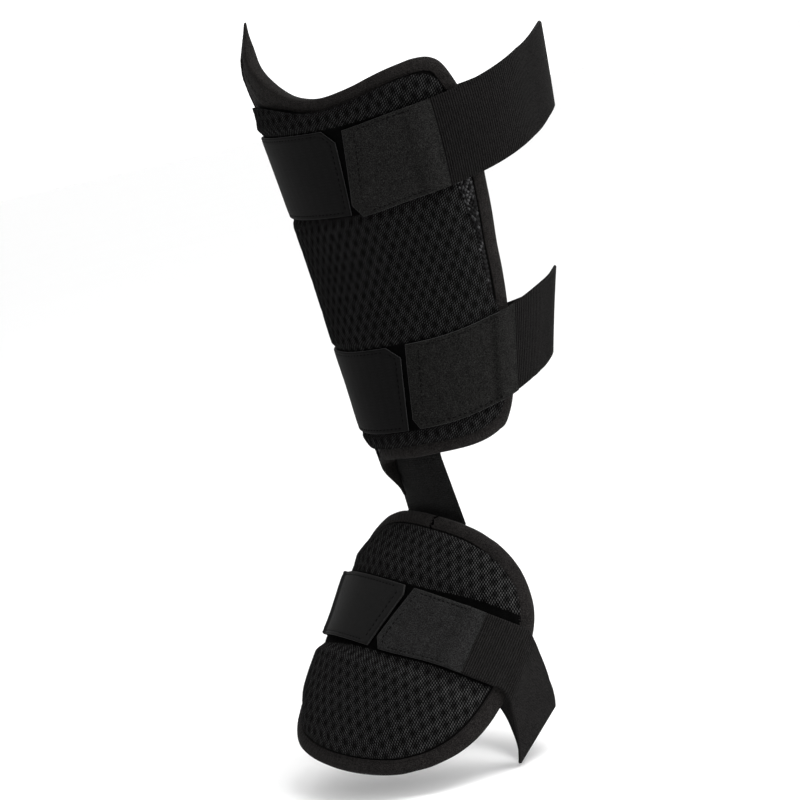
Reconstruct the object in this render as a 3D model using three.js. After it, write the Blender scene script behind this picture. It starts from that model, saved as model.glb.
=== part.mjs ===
// Batter's leg guard: a padded shin guard with two elastic straps, a link strap
// and a padded foot guard with one strap, kept in the shape it has when worn.
// Millimetres. +Z runs up the shin, the front of the shin faces -Y.
import * as THREE from 'three';

// Shin section by height: an egg of half_width across, front_depth before and
// back_depth behind a centre that is moved forward by shift.
const SHIN_SECTION = [
  { height: -20, half_width: 48.4, front_depth: 44.3, shift: 1.2, back_depth: 30.9 },
  { height: 10, half_width: 55.2, front_depth: 46.4, shift: 0.1, back_depth: 37.0 },
  { height: 40, half_width: 60.0, front_depth: 47.0, shift: -1.7, back_depth: 43.4 },
  { height: 70, half_width: 65.6, front_depth: 49.0, shift: -5.3, back_depth: 50.6 },
  { height: 100, half_width: 71.3, front_depth: 51.5, shift: -9.7, back_depth: 58.6 },
  { height: 130, half_width: 76.4, front_depth: 54.1, shift: -12.5, back_depth: 67.2 },
  { height: 160, half_width: 80.0, front_depth: 56.6, shift: -12.3, back_depth: 79.0 },
  { height: 190, half_width: 81.8, front_depth: 58.6, shift: -9.6, back_depth: 87.5 },
  { height: 220, half_width: 83.2, front_depth: 61.0, shift: -5.3, back_depth: 93.5 },
  { height: 250, half_width: 72.0, front_depth: 61.4, shift: -0.1, back_depth: 96.5 },
];

// Outline of the shin guard, angle round the shin in degrees and height. The
// four runs start at the lower left corner and go round by the right.
const SHIN_BOTTOM = [
  { angle: -66, height: -12 }, { angle: -60, height: -17 }, { angle: -53, height: -13 },
  { angle: -47, height: -3.4 }, { angle: -39, height: 2.9 }, { angle: -26, height: 4.6 },
  { angle: -5, height: 4.8 }, { angle: 11, height: 5.3 }, { angle: 22, height: 5.5 },
  { angle: 33, height: 5.9 }, { angle: 43.3, height: 7.2 }, { angle: 52.6, height: 9.8 },
  { angle: 60, height: 13.8 },
];
const SHIN_RIGHT = [
  { angle: 60, height: 13.8 }, { angle: 65, height: 19.4 }, { angle: 66.4, height: 27 },
  { angle: 66.2, height: 50 }, { angle: 65, height: 75 }, { angle: 62.4, height: 90.6 },
  { angle: 59.6, height: 106 }, { angle: 57.8, height: 126.7 }, { angle: 56.7, height: 143.6 },
  { angle: 56.4, height: 165 }, { angle: 55.6, height: 180 }, { angle: 53, height: 190.6 },
  { angle: 50, height: 199.4 },
];
const SHIN_TOP = [
  { angle: 50, height: 199.4 }, { angle: 47.1, height: 203.6 }, { angle: 42.8, height: 205.9 },
  { angle: 37.5, height: 206.3 }, { angle: 23.5, height: 203.8 }, { angle: 9, height: 199.6 },
  { angle: -4, height: 197.6 }, { angle: -12, height: 198.3 }, { angle: -21.8, height: 202.1 },
  { angle: -28.5, height: 207 }, { angle: -34.2, height: 213 }, { angle: -40, height: 220 },
  { angle: -46, height: 228 }, { angle: -52.4, height: 238 }, { angle: -57, height: 245 },
  { angle: -61.6, height: 243 }, { angle: -67, height: 235 },
];
const SHIN_LEFT = [
  { angle: -67, height: 235 }, { angle: -72.6, height: 225 }, { angle: -75.4, height: 211 },
  { angle: -74.6, height: 186 }, { angle: -72, height: 150 }, { angle: -70, height: 105 },
  { angle: -70, height: 60 }, { angle: -71, height: 20 }, { angle: -70.5, height: -1 },
  { angle: -66, height: -12 },
];

// Outline of the hard shell, which stops short of the bound edge.
const SHELL_BOTTOM = [
  { angle: -54, height: 16.4 }, { angle: -44, height: 14.2 }, { angle: -26, height: 14 },
  { angle: 11, height: 14.8 }, { angle: 33, height: 15.5 }, { angle: 45, height: 18 },
  { angle: 51.6, height: 22 },
];
const SHELL_RIGHT = [
  { angle: 51.6, height: 22 }, { angle: 55.6, height: 28.6 }, { angle: 56.4, height: 50 },
  { angle: 55.6, height: 75 }, { angle: 51.6, height: 106 }, { angle: 49.5, height: 143.6 },
  { angle: 49, height: 168 }, { angle: 47.7, height: 181 }, { angle: 44.8, height: 190.6 },
];
const SHELL_TOP = [
  { angle: 44.8, height: 190.6 }, { angle: 41.2, height: 195.2 }, { angle: 36.5, height: 196.9 },
  { angle: 22.5, height: 194.5 }, { angle: 8.5, height: 191 }, { angle: -6, height: 189.4 },
  { angle: -20, height: 192.2 }, { angle: -30, height: 195.6 }, { angle: -42, height: 198.4 },
  { angle: -55, height: 199.2 },
];
const SHELL_LEFT = [
  { angle: -55, height: 199.2 }, { angle: -62, height: 194 }, { angle: -64.5, height: 180 },
  { angle: -63, height: 150 }, { angle: -61, height: 105 }, { angle: -60.4, height: 60 },
  { angle: -59.6, height: 28 }, { angle: -54, height: 16.4 },
];

// Outline of the mesh cover: as the shell, but drawn in at the right above the
// lower strap, where the shell shows as a narrow vent.
const COVER_BOTTOM = [
  { angle: -53, height: 16.4 }, { angle: -43, height: 14.2 }, { angle: -26, height: 13.8 },
  { angle: 11, height: 14.3 }, { angle: 33, height: 14.8 }, { angle: 45, height: 17.3 },
  { angle: 52, height: 21.5 },
];
const COVER_RIGHT = [
  { angle: 52, height: 21.5 }, { angle: 56, height: 28.2 }, { angle: 57, height: 45 },
  { angle: 55.6, height: 73 }, { angle: 52, height: 86 }, { angle: 47.4, height: 112 },
  { angle: 43.2, height: 134 }, { angle: 41.2, height: 146 }, { angle: 42.6, height: 165 },
  { angle: 45.5, height: 181 }, { angle: 44.4, height: 190.5 },
];
const COVER_TOP = [
  { angle: 44.4, height: 190.5 }, { angle: 40.6, height: 195 }, { angle: 35.6, height: 196.2 },
  { angle: 22, height: 193.7 }, { angle: 8.5, height: 190.2 }, { angle: -6, height: 188.5 },
  { angle: -20, height: 191.2 }, { angle: -30, height: 194.6 }, { angle: -42, height: 197.4 },
  { angle: -54, height: 198 },
];
const COVER_LEFT = [
  { angle: -54, height: 198 }, { angle: -60.4, height: 193 }, { angle: -62, height: 179 },
  { angle: -61.4, height: 160 }, { angle: -60.4, height: 120 }, { angle: -59.4, height: 78 },
  { angle: -59, height: 45 }, { angle: -58.4, height: 28 }, { angle: -53, height: 16.4 },
];

// Heights of the layers over the shin section.
const LINER_EDGE_LOW = -10.1;
const LINER_LOW = -13.5;
const LINER_HIGH = -6.1;
const SHELL_LOW = -5.6;
const SHELL_HIGH = -3.6;
const COVER_LOW = -3.1;
const COVER_EDGE_HIGH = -1.9;
const COVER_HIGH = 0.8;
const COVER_UNDER_STRAP = -1.9;
const LINER_INSET = 1.9;

// Bound edge: a channel folded round the liner, as inset from the outline and
// height over the middle of the liner's edge.
const BINDING_WIDTH = 7.2;
const BINDING_WALL = 1.1;
const BINDING_SLACK = 0.45;
const BINDING_FLOOR = 1.3;
const BINDING_ROUND = 0.9;

// Strap heights round the shin, by angle from the front in steps of 30 degrees.
const STRAP_STEP = 30;
const UPPER_STRAP = {
  width: 45.5,
  heights: [166.6, 162.6, 162.0, 162.0, 161.6, 159.5, 158.0, 160.6, 166.8, 176.6, 187.6, 176.8],
};
const LOWER_STRAP = {
  width: 44.6,
  heights: [43.4, 43.0, 43.8, 44.2, 43.8, 42.4, 42.4, 43.6, 49.5, 57.9, 61.7, 49.0],
};
const STRAP_LOW = -1.2;
const STRAP_THICK = 1.6;
const TAB_THICK = 1.8;
const LAP_LIFT = 2.0;

// Strap tabs: angle of the free end at the two edges of the strap (on the shin
// first the lower one, on the foot first the one near the ankle), angle of the
// sewn end, length of the lap over the elastic, and the cut corner.
const SHIN_TABS = [
  { name: 'upper_left_tab', strap: 'upper', end_one: -5.6, end_two: -2, sewn: -76, lap: 9,
    cut_side: 1, cut_height: 7, cut_angle: 5.5 },
  { name: 'upper_right_tab', strap: 'upper', end_one: -2.3, end_two: 4.4, sewn: 40, lap: 9,
    cut_side: -1, cut_height: 7, cut_angle: 5 },
  { name: 'lower_left_tab', strap: 'lower', end_one: -0.9, end_two: 4, sewn: -76, lap: 10,
    cut_side: 1, cut_height: 6.5, cut_angle: 8.5 },
  { name: 'lower_right_tab', strap: 'lower', end_one: 3.2, end_two: 7.4, sewn: 66, lap: 10,
    cut_side: -1, cut_height: 5.5, cut_angle: 4 },
];
const UPPER_ELASTIC = { start: 32, end: 288.5 };
const LOWER_ELASTIC = { start: 57, end: 289 };

// Foot guard frame: a point at its top, the way to the toe, across and out.
const FOOT_POINT = new THREE.Vector3(2.1, -29.85, -21.84);
const FOOT_ALONG = new THREE.Vector3(-0.33382, -0.52385, -0.78367);
const FOOT_ACROSS = new THREE.Vector3(0.93198, -0.30805, -0.19108);
const FOOT_OUT = new THREE.Vector3(-0.14131, -0.79415, 0.59106);
const FOOT_SECTION = [
  { along: 0, half_width: 54.4, drop: 28.2 },
  { along: 40, half_width: 70.7, drop: 28.9 },
  { along: 80, half_width: 69.4, drop: 30.2 },
  { along: 120, half_width: 65.6, drop: 25.2 },
  { along: 158, half_width: 57.1, drop: 24.6 },
];

// Half outline of the foot guard by angle across the foot and distance along
// it, from the top centre down the side to the toe centre. The toe reaches
// further along on the left, by up to TOE_LEAN on each side.
const FOOT_OUTLINE = [
  { angle: 0, along: 10.2 }, { angle: 16, along: 10.3 }, { angle: 30.5, along: 11.6 },
  { angle: 43.4, along: 14.7 }, { angle: 55, along: 20 }, { angle: 64, along: 27 },
  { angle: 74.2, along: 39.6 }, { angle: 80, along: 54.5 }, { angle: 81.2, along: 68 },
  { angle: 81, along: 83 }, { angle: 80.2, along: 97.5 }, { angle: 78.2, along: 109.8 },
  { angle: 69.6, along: 124 }, { angle: 56.5, along: 135.9 }, { angle: 41, along: 144.6 },
  { angle: 21.5, along: 149.8 }, { angle: 0, along: 151.6 },
];
const FOOT_TOP_CORNER = 43.4;
const FOOT_TOE_CORNER = 56.5;
const TOE_LEAN = -3.3;

// Foot pads: range along the foot, height of the crown, inset from the edge.
const FOOT_LINER_LOW = -0.1;
const FOOT_LINER_HIGH = 3.6;
const PAD_LOW = 4.2;
const PAD_EDGE_HIGH = 5.4;
const PAD_INSET = 8.8;
const FOOT_PADS = [
  { name: 'foot_instep_pad', from: 18.4, to: 61, groove: 1, crown: 10.2 },
  { name: 'foot_toe_pad', from: 77, to: 142.6, groove: -1, crown: 12.6 },
];
const PAD_UNDER_STRAP = 8.0;
const PAD_SIDE_DROP = 2.2;

// Foot strap: centre along the foot, then the path of the free loop below the
// foot as distance along, across and out, with the tilt of its width.
const FOOT_STRAP_ALONG = 68.6;
const FOOT_STRAP_WIDTH = 36;
const FOOT_STRAP_LOW = 8.4;
const FOOT_STRAP_ANGLE = 72;
const FOOT_LOOP = [
  { along: 73, across: 77.2, out: -23, tilt: 1 },
  { along: 85, across: 74.8, out: -40, tilt: 8 },
  { along: 97, across: 70.5, out: -55, tilt: 13 },
  { along: 87, across: 54, out: -63.5, tilt: 12 },
  { along: 72, across: 28, out: -66, tilt: 8 },
  { along: 66, across: 0, out: -66.5, tilt: 6 },
];
const FOOT_TABS = [
  { name: 'foot_left_tab', end_one: 5.5, end_two: -4.4, sewn: -70, lap: 9, cut_side: -1, cut_height: 5,
    cut_angle: 2.5 },
  { name: 'foot_right_tab', end_one: 8.6, end_two: -2.4, sewn: 46, lap: 9, cut_side: 1, cut_height: 6,
    cut_angle: 5 },
];
const FOOT_ELASTIC = { start: 40.5, end: -64 };

// Link strap: its left and right edge across the shin, and across the foot.
const LINK_SHIN_LEFT = -29;
const LINK_SHIN_RIGHT = 6.5;
const LINK_FOOT_LEFT = -38;
const LINK_FOOT_RIGHT = 16.5;
const LINK_THICK = 1.6;
const LINK_SHIN_HIGH = -11.9;
const LINK_FOOT_HIGH = -1.9;

const BLACK_MESH = { color: 0x17181a, roughness: 0.95, metalness: 0 };
const BLACK_FOAM = { color: 0x141415, roughness: 0.97, metalness: 0 };
const BLACK_SHELL = { color: 0x0c0c0d, roughness: 0.28, metalness: 0 };
const BLACK_KNIT = { color: 0x1b1a19, roughness: 0.92, metalness: 0 };
const BLACK_ELASTIC = { color: 0x18181a, roughness: 0.9, metalness: 0 };
const BLACK_TAB = { color: 0x1a1a1b, roughness: 0.72, metalness: 0 };

const RAD = Math.PI / 180;

// A smooth curve through the rows of a table, as a function of one column.
function through(rows, from, to) {
  const xs = rows.map((row) => row[from]);
  const ys = rows.map((row) => row[to]);
  const last = xs.length - 1;
  const slopes = xs.map((_, i) => {
    const a = Math.max(i - 1, 0);
    const b = Math.min(i + 1, last);
    return (ys[b] - ys[a]) / (xs[b] - xs[a]);
  });
  return (x) => {
    let i = 0;
    while (i < last - 1 && x > xs[i + 1]) i += 1;
    const width = xs[i + 1] - xs[i];
    const t = (x - xs[i]) / width;
    if (t < 0) return ys[0] + slopes[0] * (x - xs[0]);
    if (t > 1) return ys[last] + slopes[last] * (x - xs[last]);
    const t2 = t * t;
    const t3 = t2 * t;
    return (2 * t3 - 3 * t2 + 1) * ys[i] + (t3 - 2 * t2 + t) * width * slopes[i]
      + (3 * t2 - 2 * t3) * ys[i + 1] + (t3 - t2) * width * slopes[i + 1];
  };
}

// Points spread evenly along a run of table rows given by two columns.
function spread(rows, first, second, count, scale) {
  const lengths = [0];
  for (let i = 1; i < rows.length; i += 1) {
    const a = (rows[i][first] - rows[i - 1][first]) * scale;
    const b = rows[i][second] - rows[i - 1][second];
    lengths.push(lengths[i - 1] + Math.hypot(a, b));
  }
  const marked = rows.map((row, i) => ({ length: lengths[i], a: row[first], b: row[second] }));
  const curveA = through(marked, 'length', 'a');
  const curveB = through(marked, 'length', 'b');
  const total = lengths[lengths.length - 1];
  return Array.from({ length: count + 1 }, (_, i) => [curveA(total * i / count), curveB(total * i / count)]);
}

const halfWidth = through(SHIN_SECTION, 'height', 'half_width');
const frontDepth = through(SHIN_SECTION, 'height', 'front_depth');
const shift = through(SHIN_SECTION, 'height', 'shift');
const backDepth = through(SHIN_SECTION, 'height', 'back_depth');

// A point on the shin: angle from the front, height, distance over the section.
function shinAt(angle, height, over) {
  const turn = angle * RAD;
  const across = halfWidth(height);
  const deep = Math.cos(turn) >= 0 ? frontDepth(height) : backDepth(height);
  const normalX = Math.sin(turn) / across;
  const normalF = Math.cos(turn) / deep;
  const size = Math.hypot(normalX, normalF);
  const x = across * Math.sin(turn) + over * normalX / size;
  const front = deep * Math.cos(turn) + shift(height) + over * normalF / size;
  return new THREE.Vector3(x, -front, height);
}

const footWidth = through(FOOT_SECTION, 'along', 'half_width');
const footDrop = through(FOOT_SECTION, 'along', 'drop');

function footPoint(along, across, out) {
  return FOOT_POINT.clone()
    .addScaledVector(FOOT_ALONG, along)
    .addScaledVector(FOOT_ACROSS, across)
    .addScaledVector(FOOT_OUT, out);
}

// A point on the foot: angle across, distance along, distance over the section.
function footAt(angle, along, over) {
  const turn = angle * RAD;
  const across = (footWidth(along) + over) * Math.sin(turn);
  const out = footDrop(along) * (Math.cos(turn) - 1) + over * Math.cos(turn);
  const lean = TOE_LEAN * Math.sin(turn) * smoothStep(90, 150, along);
  return footPoint(along + lean, across, out);
}

function smoothStep(low, high, x) {
  const t = Math.min(Math.max((x - low) / (high - low), 0), 1);
  return t * t * (3 - 2 * t);
}

// Strap height round the shin, a closed smooth curve through its table.
function loopHeight(strap, angle) {
  const count = strap.heights.length;
  const place = ((angle + 180) / STRAP_STEP + count * 4) % count;
  const i = Math.floor(place);
  const t = place - i;
  const value = (k) => strap.heights[(k + count) % count];
  const a = value(i - 1);
  const b = value(i);
  const c = value(i + 1);
  const d = value(i + 2);
  return b + 0.5 * t * (c - a + t * (2 * a - 5 * b + 4 * c - d + t * (3 * (b - c) + d - a)));
}

// A solid from triangles given as corner points, joined where corners meet.
function solid(name, look, points, faces) {
  const geometry = new THREE.BufferGeometry();
  const flat = [];
  points.forEach((p) => flat.push(p.x, p.y, p.z));
  geometry.setAttribute('position', new THREE.Float32BufferAttribute(flat, 3));
  let volume = 0;
  const cross = new THREE.Vector3();
  faces.forEach(([a, b, c]) => {
    volume += points[a].dot(cross.crossVectors(points[b], points[c]));
  });
  const index = [];
  faces.forEach(([a, b, c]) => {
    if (volume > 0) index.push(a, b, c);
    else index.push(a, c, b);
  });
  geometry.setIndex(index);
  geometry.computeVertexNormals();
  const mesh = new THREE.Mesh(geometry, new THREE.MeshStandardMaterial(look));
  mesh.name = name;
  return mesh;
}

// A solid swept through closed rings of points, ends capped or joined up.
function sweep(name, look, rings, closed) {
  const size = rings[0].length;
  const points = rings.flat();
  const faces = [];
  const steps = closed ? rings.length : rings.length - 1;
  for (let i = 0; i < steps; i += 1) {
    const base = i * size;
    const next = ((i + 1) % rings.length) * size;
    for (let j = 0; j < size; j += 1) {
      const k = (j + 1) % size;
      faces.push([base + j, base + k, next + k]);
      faces.push([base + j, next + k, next + j]);
    }
  }
  if (!closed) {
    const half = size / 2;
    const last = (rings.length - 1) * size;
    for (let j = 0; j < half - 1; j += 1) {
      const far = size - 1 - j;
      faces.push([j, far, far - 1]);
      faces.push([j, far - 1, j + 1]);
      faces.push([last + j, last + far - 1, last + far]);
      faces.push([last + j, last + j + 1, last + far - 1]);
    }
  }
  return solid(name, look, points, faces);
}

// The ring of a flat band: low side one way, high side back.
function bandRing(count, pointAt, low, high) {
  const ring = [];
  for (let j = 0; j <= count; j += 1) ring.push(pointAt(j / count, low));
  for (let j = count; j >= 0; j -= 1) ring.push(pointAt(j / count, high));
  return ring;
}

// Moves a closed outline inward over a surface by a distance in millimetres.
function inset(outline, surface, distance) {
  const count = outline.length;
  const step = 0.05;
  let turn = 0;
  for (let i = 0; i < count; i += 1) {
    const [a, b] = outline[i];
    const [c, d] = outline[(i + 1) % count];
    turn += a * d - b * c;
  }
  return outline.map(([a, b], i) => {
    const before = outline[(i + count - 1) % count];
    const after = outline[(i + 1) % count];
    const here = surface(a, b, 0);
    const alongA = surface(a + step, b, 0).sub(here).divideScalar(step);
    const alongB = surface(a, b + step, 0).sub(here).divideScalar(step);
    const path = surface(after[0], after[1], 0).sub(surface(before[0], before[1], 0)).normalize();
    const normal = new THREE.Vector3().crossVectors(alongA, alongB).normalize();
    const inward = new THREE.Vector3().crossVectors(normal, path);
    if (turn < 0) inward.negate();
    const aa = alongA.dot(alongA);
    const ab = alongA.dot(alongB);
    const bb = alongB.dot(alongB);
    const ra = alongA.dot(inward);
    const rb = alongB.dot(inward);
    const det = aa * bb - ab * ab;
    return [a + distance * (ra * bb - rb * ab) / det, b + distance * (rb * aa - ra * ab) / det];
  });
}

// Fills a closed outline of four runs with a grid of surface coordinates.
function fill(outline, counts) {
  const [wide, tall] = counts;
  const bottom = outline.slice(0, wide + 1);
  const right = outline.slice(wide, wide + tall + 1);
  const top = outline.slice(wide + tall, 2 * wide + tall + 1).reverse();
  const left = [...outline.slice(2 * wide + tall), outline[0]].reverse();
  const grid = [];
  for (let i = 0; i <= wide; i += 1) {
    const u = i / wide;
    const column = [];
    for (let j = 0; j <= tall; j += 1) {
      const v = j / tall;
      column.push([0, 1].map((k) => (1 - v) * bottom[i][k] + v * top[i][k]
        + (1 - u) * left[j][k] + u * right[j][k]
        - (1 - u) * (1 - v) * bottom[0][k] - u * (1 - v) * bottom[wide][k]
        - (1 - u) * v * top[0][k] - u * v * top[wide][k]));
    }
    grid.push(column);
  }
  return grid;
}

// A padded layer over a surface: rings step in from its outline, each with a
// low and a high height, and a grid fills the middle.
function layer(name, look, surface, outline, counts, rings, middle) {
  const [wide, tall] = counts;
  const points = [];
  const faces = [];
  const loops = rings.map((ring) => inset(outline, surface, ring.inset));
  const around = outline.length;
  [0, 1].forEach((side) => {
    const start = points.length;
    loops.forEach((loop, r) => loop.forEach(([a, b]) => {
      const over = side ? rings[r].high(a, b) : rings[r].low(a, b);
      points.push(surface(a, b, over));
    }));
    for (let r = 0; r + 1 < loops.length; r += 1) {
      for (let k = 0; k < around; k += 1) {
        const here = start + r * around + k;
        const next = start + r * around + (k + 1) % around;
        const quad = [[here, next, next + around], [here, next + around, here + around]];
        quad.forEach(([a, b, c]) => faces.push(side ? [a, b, c] : [a, c, b]));
      }
    }
    const grid = fill(loops[loops.length - 1], counts);
    const edge = start + (loops.length - 1) * around;
    const edgeIndex = (i, j) => {
      if (j === 0) return edge + i;
      if (i === wide) return edge + wide + j;
      if (j === tall) return edge + 2 * wide + tall - i;
      return edge + (2 * wide + 2 * tall - j) % around;
    };
    const ids = grid.map((column, i) => column.map(([a, b], j) => {
      if (i === 0 || j === 0 || i === wide || j === tall) return edgeIndex(i, j);
      points.push(surface(a, b, side ? middle.high(a, b) : middle.low(a, b)));
      return points.length - 1;
    }));
    for (let i = 0; i < wide; i += 1) {
      for (let j = 0; j < tall; j += 1) {
        const quad = [[ids[i][j], ids[i + 1][j], ids[i + 1][j + 1]], [ids[i][j], ids[i + 1][j + 1], ids[i][j + 1]]];
        quad.forEach(([a, b, c]) => faces.push(side ? [a, b, c] : [a, c, b]));
      }
    }
  });
  const upper = points.length / 2;
  for (let k = 0; k < around; k += 1) {
    const next = (k + 1) % around;
    faces.push([k, next, upper + next]);
    faces.push([k, upper + next, upper + k]);
  }
  return solid(name, look, points, faces);
}

// A channel of cloth folded round the edge of a layer.
function binding(name, look, surface, outline, low, high) {
  const bottom = low - BINDING_SLACK - BINDING_WALL;
  const top = high + BINDING_SLACK + BINDING_WALL;
  const section = [
    [BINDING_WIDTH, bottom], [BINDING_ROUND, bottom], [0, bottom + BINDING_ROUND],
    [0, top - BINDING_ROUND], [BINDING_ROUND, top], [BINDING_WIDTH, top],
    [BINDING_WIDTH, top - BINDING_WALL], [BINDING_FLOOR, top - BINDING_WALL],
    [BINDING_FLOOR, bottom + BINDING_WALL], [BINDING_WIDTH, bottom + BINDING_WALL],
  ];
  const loops = section.map(([distance]) => inset(outline, surface, distance));
  const rings = outline.map((_, k) => section.map(([, over], n) => surface(...loops[n][k], over)));
  return sweep(name, look, rings, true);
}

// Joins four table runs into one closed outline with known counts a side.
function closedOutline(runs, counts, scale) {
  const sides = [counts[0], counts[1], counts[0], counts[1]];
  return runs.flatMap((run, i) => spread(run, 'angle', 'height', sides[i], scale).slice(0, -1));
}

const same = (value) => () => value;

function strapOf(key) {
  return key === 'upper' ? UPPER_STRAP : LOWER_STRAP;
}

// Height of the mesh cover: pressed in where the two straps cross it.
function coverHigh(angle, height) {
  const press = [UPPER_STRAP, LOWER_STRAP].map((strap) => {
    const away = Math.abs(height - loopHeight(strap, angle)) - strap.width / 2;
    return 1 - smoothStep(5, 13, away);
  });
  const pressed = Math.max(...press);
  return COVER_HIGH + (COVER_UNDER_STRAP - COVER_HIGH) * pressed;
}

function elastic(name, strap, range) {
  const steps = 40;
  const rings = [];
  for (let i = 0; i <= steps; i += 1) {
    const angle = range.start + (range.end - range.start) * i / steps;
    const middle = loopHeight(strap, angle);
    const at = (v, over) => shinAt(angle, middle + (v - 0.5) * strap.width, over);
    rings.push(bandRing(2, at, STRAP_LOW, STRAP_LOW + STRAP_THICK));
  }
  return sweep(name, BLACK_ELASTIC, rings, false);
}

// A tab on a strap. Its free end may lean and has one cut corner; its sewn end
// lies over the elastic.
function tab(name, row, width, steps, bandAt, low) {
  const toward = Math.sign(row.sewn - (row.end_one + row.end_two) / 2);
  const rings = [];
  const stations = [0, 1];
  for (let i = 1; i <= steps; i += 1) stations.push(1 + i);
  stations.forEach((station) => {
    const cut = station === 0 ? row.cut_height / width : 0;
    const floor = row.cut_side < 0 ? cut : 0;
    const ceiling = row.cut_side > 0 ? 1 - cut : 1;
    const share = Math.max(station - 1, 0) / steps;
    const at = (t, over) => {
      const v = floor + (ceiling - floor) * t;
      const end = row.end_one + (row.end_two - row.end_one) * v;
      const free = end + toward * (station === 0 ? 0 : row.cut_angle * (row.cut_side > 0 ? v : 1 - v));
      const angle = free + (row.sewn - free) * share;
      const past = (angle - row.sewn) * -toward;
      const lift = LAP_LIFT * (1 - smoothStep(row.lap, row.lap + 5, past));
      return bandAt(angle, v - 0.5, over + lift);
    };
    rings.push(bandRing(3, at, low, low + TAB_THICK));
  });
  return sweep(name, BLACK_TAB, rings, false);
}

// How much lower the foot strap and the pads below it lie at the sides.
function sideDrop(angle) {
  return PAD_SIDE_DROP * smoothStep(22, 56, Math.abs(angle));
}

// Foot strap below the foot, mirrored to both sides.
const LOOP_ROWS = [
  ...FOOT_LOOP.map((row, i) => ({ ...row, place: i })),
  ...FOOT_LOOP.slice(0, -1).reverse().map((row, i) => ({
    ...row, across: -row.across, place: FOOT_LOOP.length + i,
  })),
];

// Rings of the foot strap from its right sewn end, below the foot, to its left.
function footStrapRings() {
  const half = FOOT_STRAP_WIDTH / 2;
  const rings = [];
  const onFoot = (angle) => {
    const along = (v) => FOOT_STRAP_ALONG + (v - 0.5) * FOOT_STRAP_WIDTH;
    const at = (v, over) => footAt(angle, along(v), over - sideDrop(angle));
    rings.push(bandRing(2, at, FOOT_STRAP_LOW, FOOT_STRAP_LOW + STRAP_THICK));
  };
  for (let angle = FOOT_ELASTIC.start; angle <= FOOT_STRAP_ANGLE; angle += (FOOT_STRAP_ANGLE - FOOT_ELASTIC.start) / 5) {
    onFoot(angle);
  }
  const along = through(LOOP_ROWS, 'place', 'along');
  const across = through(LOOP_ROWS, 'place', 'across');
  const out = through(LOOP_ROWS, 'place', 'out');
  const tilt = through(LOOP_ROWS, 'place', 'tilt');
  const last = LOOP_ROWS.length - 1;
  for (let i = 0; i <= last * 3; i += 1) {
    const p = i / 3;
    const slope = new THREE.Vector2(across(p + 0.05) - across(p - 0.05), out(p + 0.05) - out(p - 0.05)).normalize();
    const lean = tilt(p) * RAD;
    const at = (v, over) => {
      const w = (v - 0.5) * 2 * half;
      const offset = over - STRAP_THICK / 2;
      return footPoint(
        along(p) + w * Math.cos(lean),
        across(p) - slope.y * offset,
        out(p) + w * Math.sin(lean) + slope.x * offset,
      );
    };
    rings.push(bandRing(2, at, 0, STRAP_THICK));
  }
  const leftSpan = FOOT_STRAP_ANGLE + FOOT_ELASTIC.end;
  for (let i = 0; i <= 4; i += 1) onFoot(-FOOT_STRAP_ANGLE + leftSpan * i / 4);
  return rings;
}

// The link strap: behind the lower edge of the shin guard, free for a short
// way, then behind the top edge of the foot guard.
function linkStrap() {
  const rows = [];
  const onShin = (height) => (v, over) => {
    const x = LINK_SHIN_LEFT + (LINK_SHIN_RIGHT - LINK_SHIN_LEFT) * v;
    const angle = Math.asin(x / (halfWidth(height) + LINK_SHIN_HIGH)) / RAD;
    return shinAt(angle, height, LINK_SHIN_HIGH - over);
  };
  const onFoot = (along) => (v, over) => {
    const angle = LINK_FOOT_LEFT + (LINK_FOOT_RIGHT - LINK_FOOT_LEFT) * v;
    return footAt(angle, along, LINK_FOOT_HIGH - over);
  };
  const upper = onShin(1.5);
  const lower = onFoot(9);
  const between = (t) => (v, over) => upper(v, over).lerp(lower(v, over), t);
  rows.push(onShin(15), onShin(9), onShin(4), upper);
  rows.push(between(0.25), between(0.5), between(0.75), lower, onFoot(14), onFoot(20));
  return sweep('link_strap', BLACK_ELASTIC, rows.map((at) => bandRing(4, at, LINK_THICK, 0)), false);
}

const SHIN_COUNTS = [20, 12];
const SHELL_COUNTS = [14, 10];
const COVER_COUNTS = [18, 16];
const SHIN_SCALE = 1.25;
const shinOutline = closedOutline([SHIN_BOTTOM, SHIN_RIGHT, SHIN_TOP, SHIN_LEFT], SHIN_COUNTS, SHIN_SCALE);
const shellOutline = closedOutline([SHELL_BOTTOM, SHELL_RIGHT, SHELL_TOP, SHELL_LEFT], SHELL_COUNTS, SHIN_SCALE);
const coverOutline = closedOutline([COVER_BOTTOM, COVER_RIGHT, COVER_TOP, COVER_LEFT], COVER_COUNTS, SHIN_SCALE);

// The foot outline, both halves, as four runs that start at the left of the
// top and go round by the right.
function footRuns() {
  const mirror = (row) => ({ angle: -row.angle, along: row.along });
  const at = (angle, list) => list.findIndex((row) => row.angle === angle);
  const topAt = at(FOOT_TOP_CORNER, FOOT_OUTLINE);
  const toeAt = FOOT_OUTLINE.length - 1 - at(FOOT_TOE_CORNER, [...FOOT_OUTLINE].reverse());
  const right = FOOT_OUTLINE.slice(topAt, toeAt + 1);
  const topHalf = FOOT_OUTLINE.slice(0, topAt + 1);
  const toeHalf = FOOT_OUTLINE.slice(toeAt);
  const top = [...topHalf.slice(1).reverse().map(mirror), ...topHalf];
  const toe = [...toeHalf, ...toeHalf.slice(0, -1).reverse().map(mirror)];
  const left = [...right].reverse().map(mirror);
  return [top, right, toe, left];
}

function footOutline(counts) {
  const sides = [counts[0], counts[1], counts[0], counts[1]];
  return footRuns().flatMap((run, i) => spread(run, 'angle', 'along', sides[i], 1.15).slice(0, -1));
}

const FOOT_COUNTS = [14, 14];
const footLoop = footOutline(FOOT_COUNTS);

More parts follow.
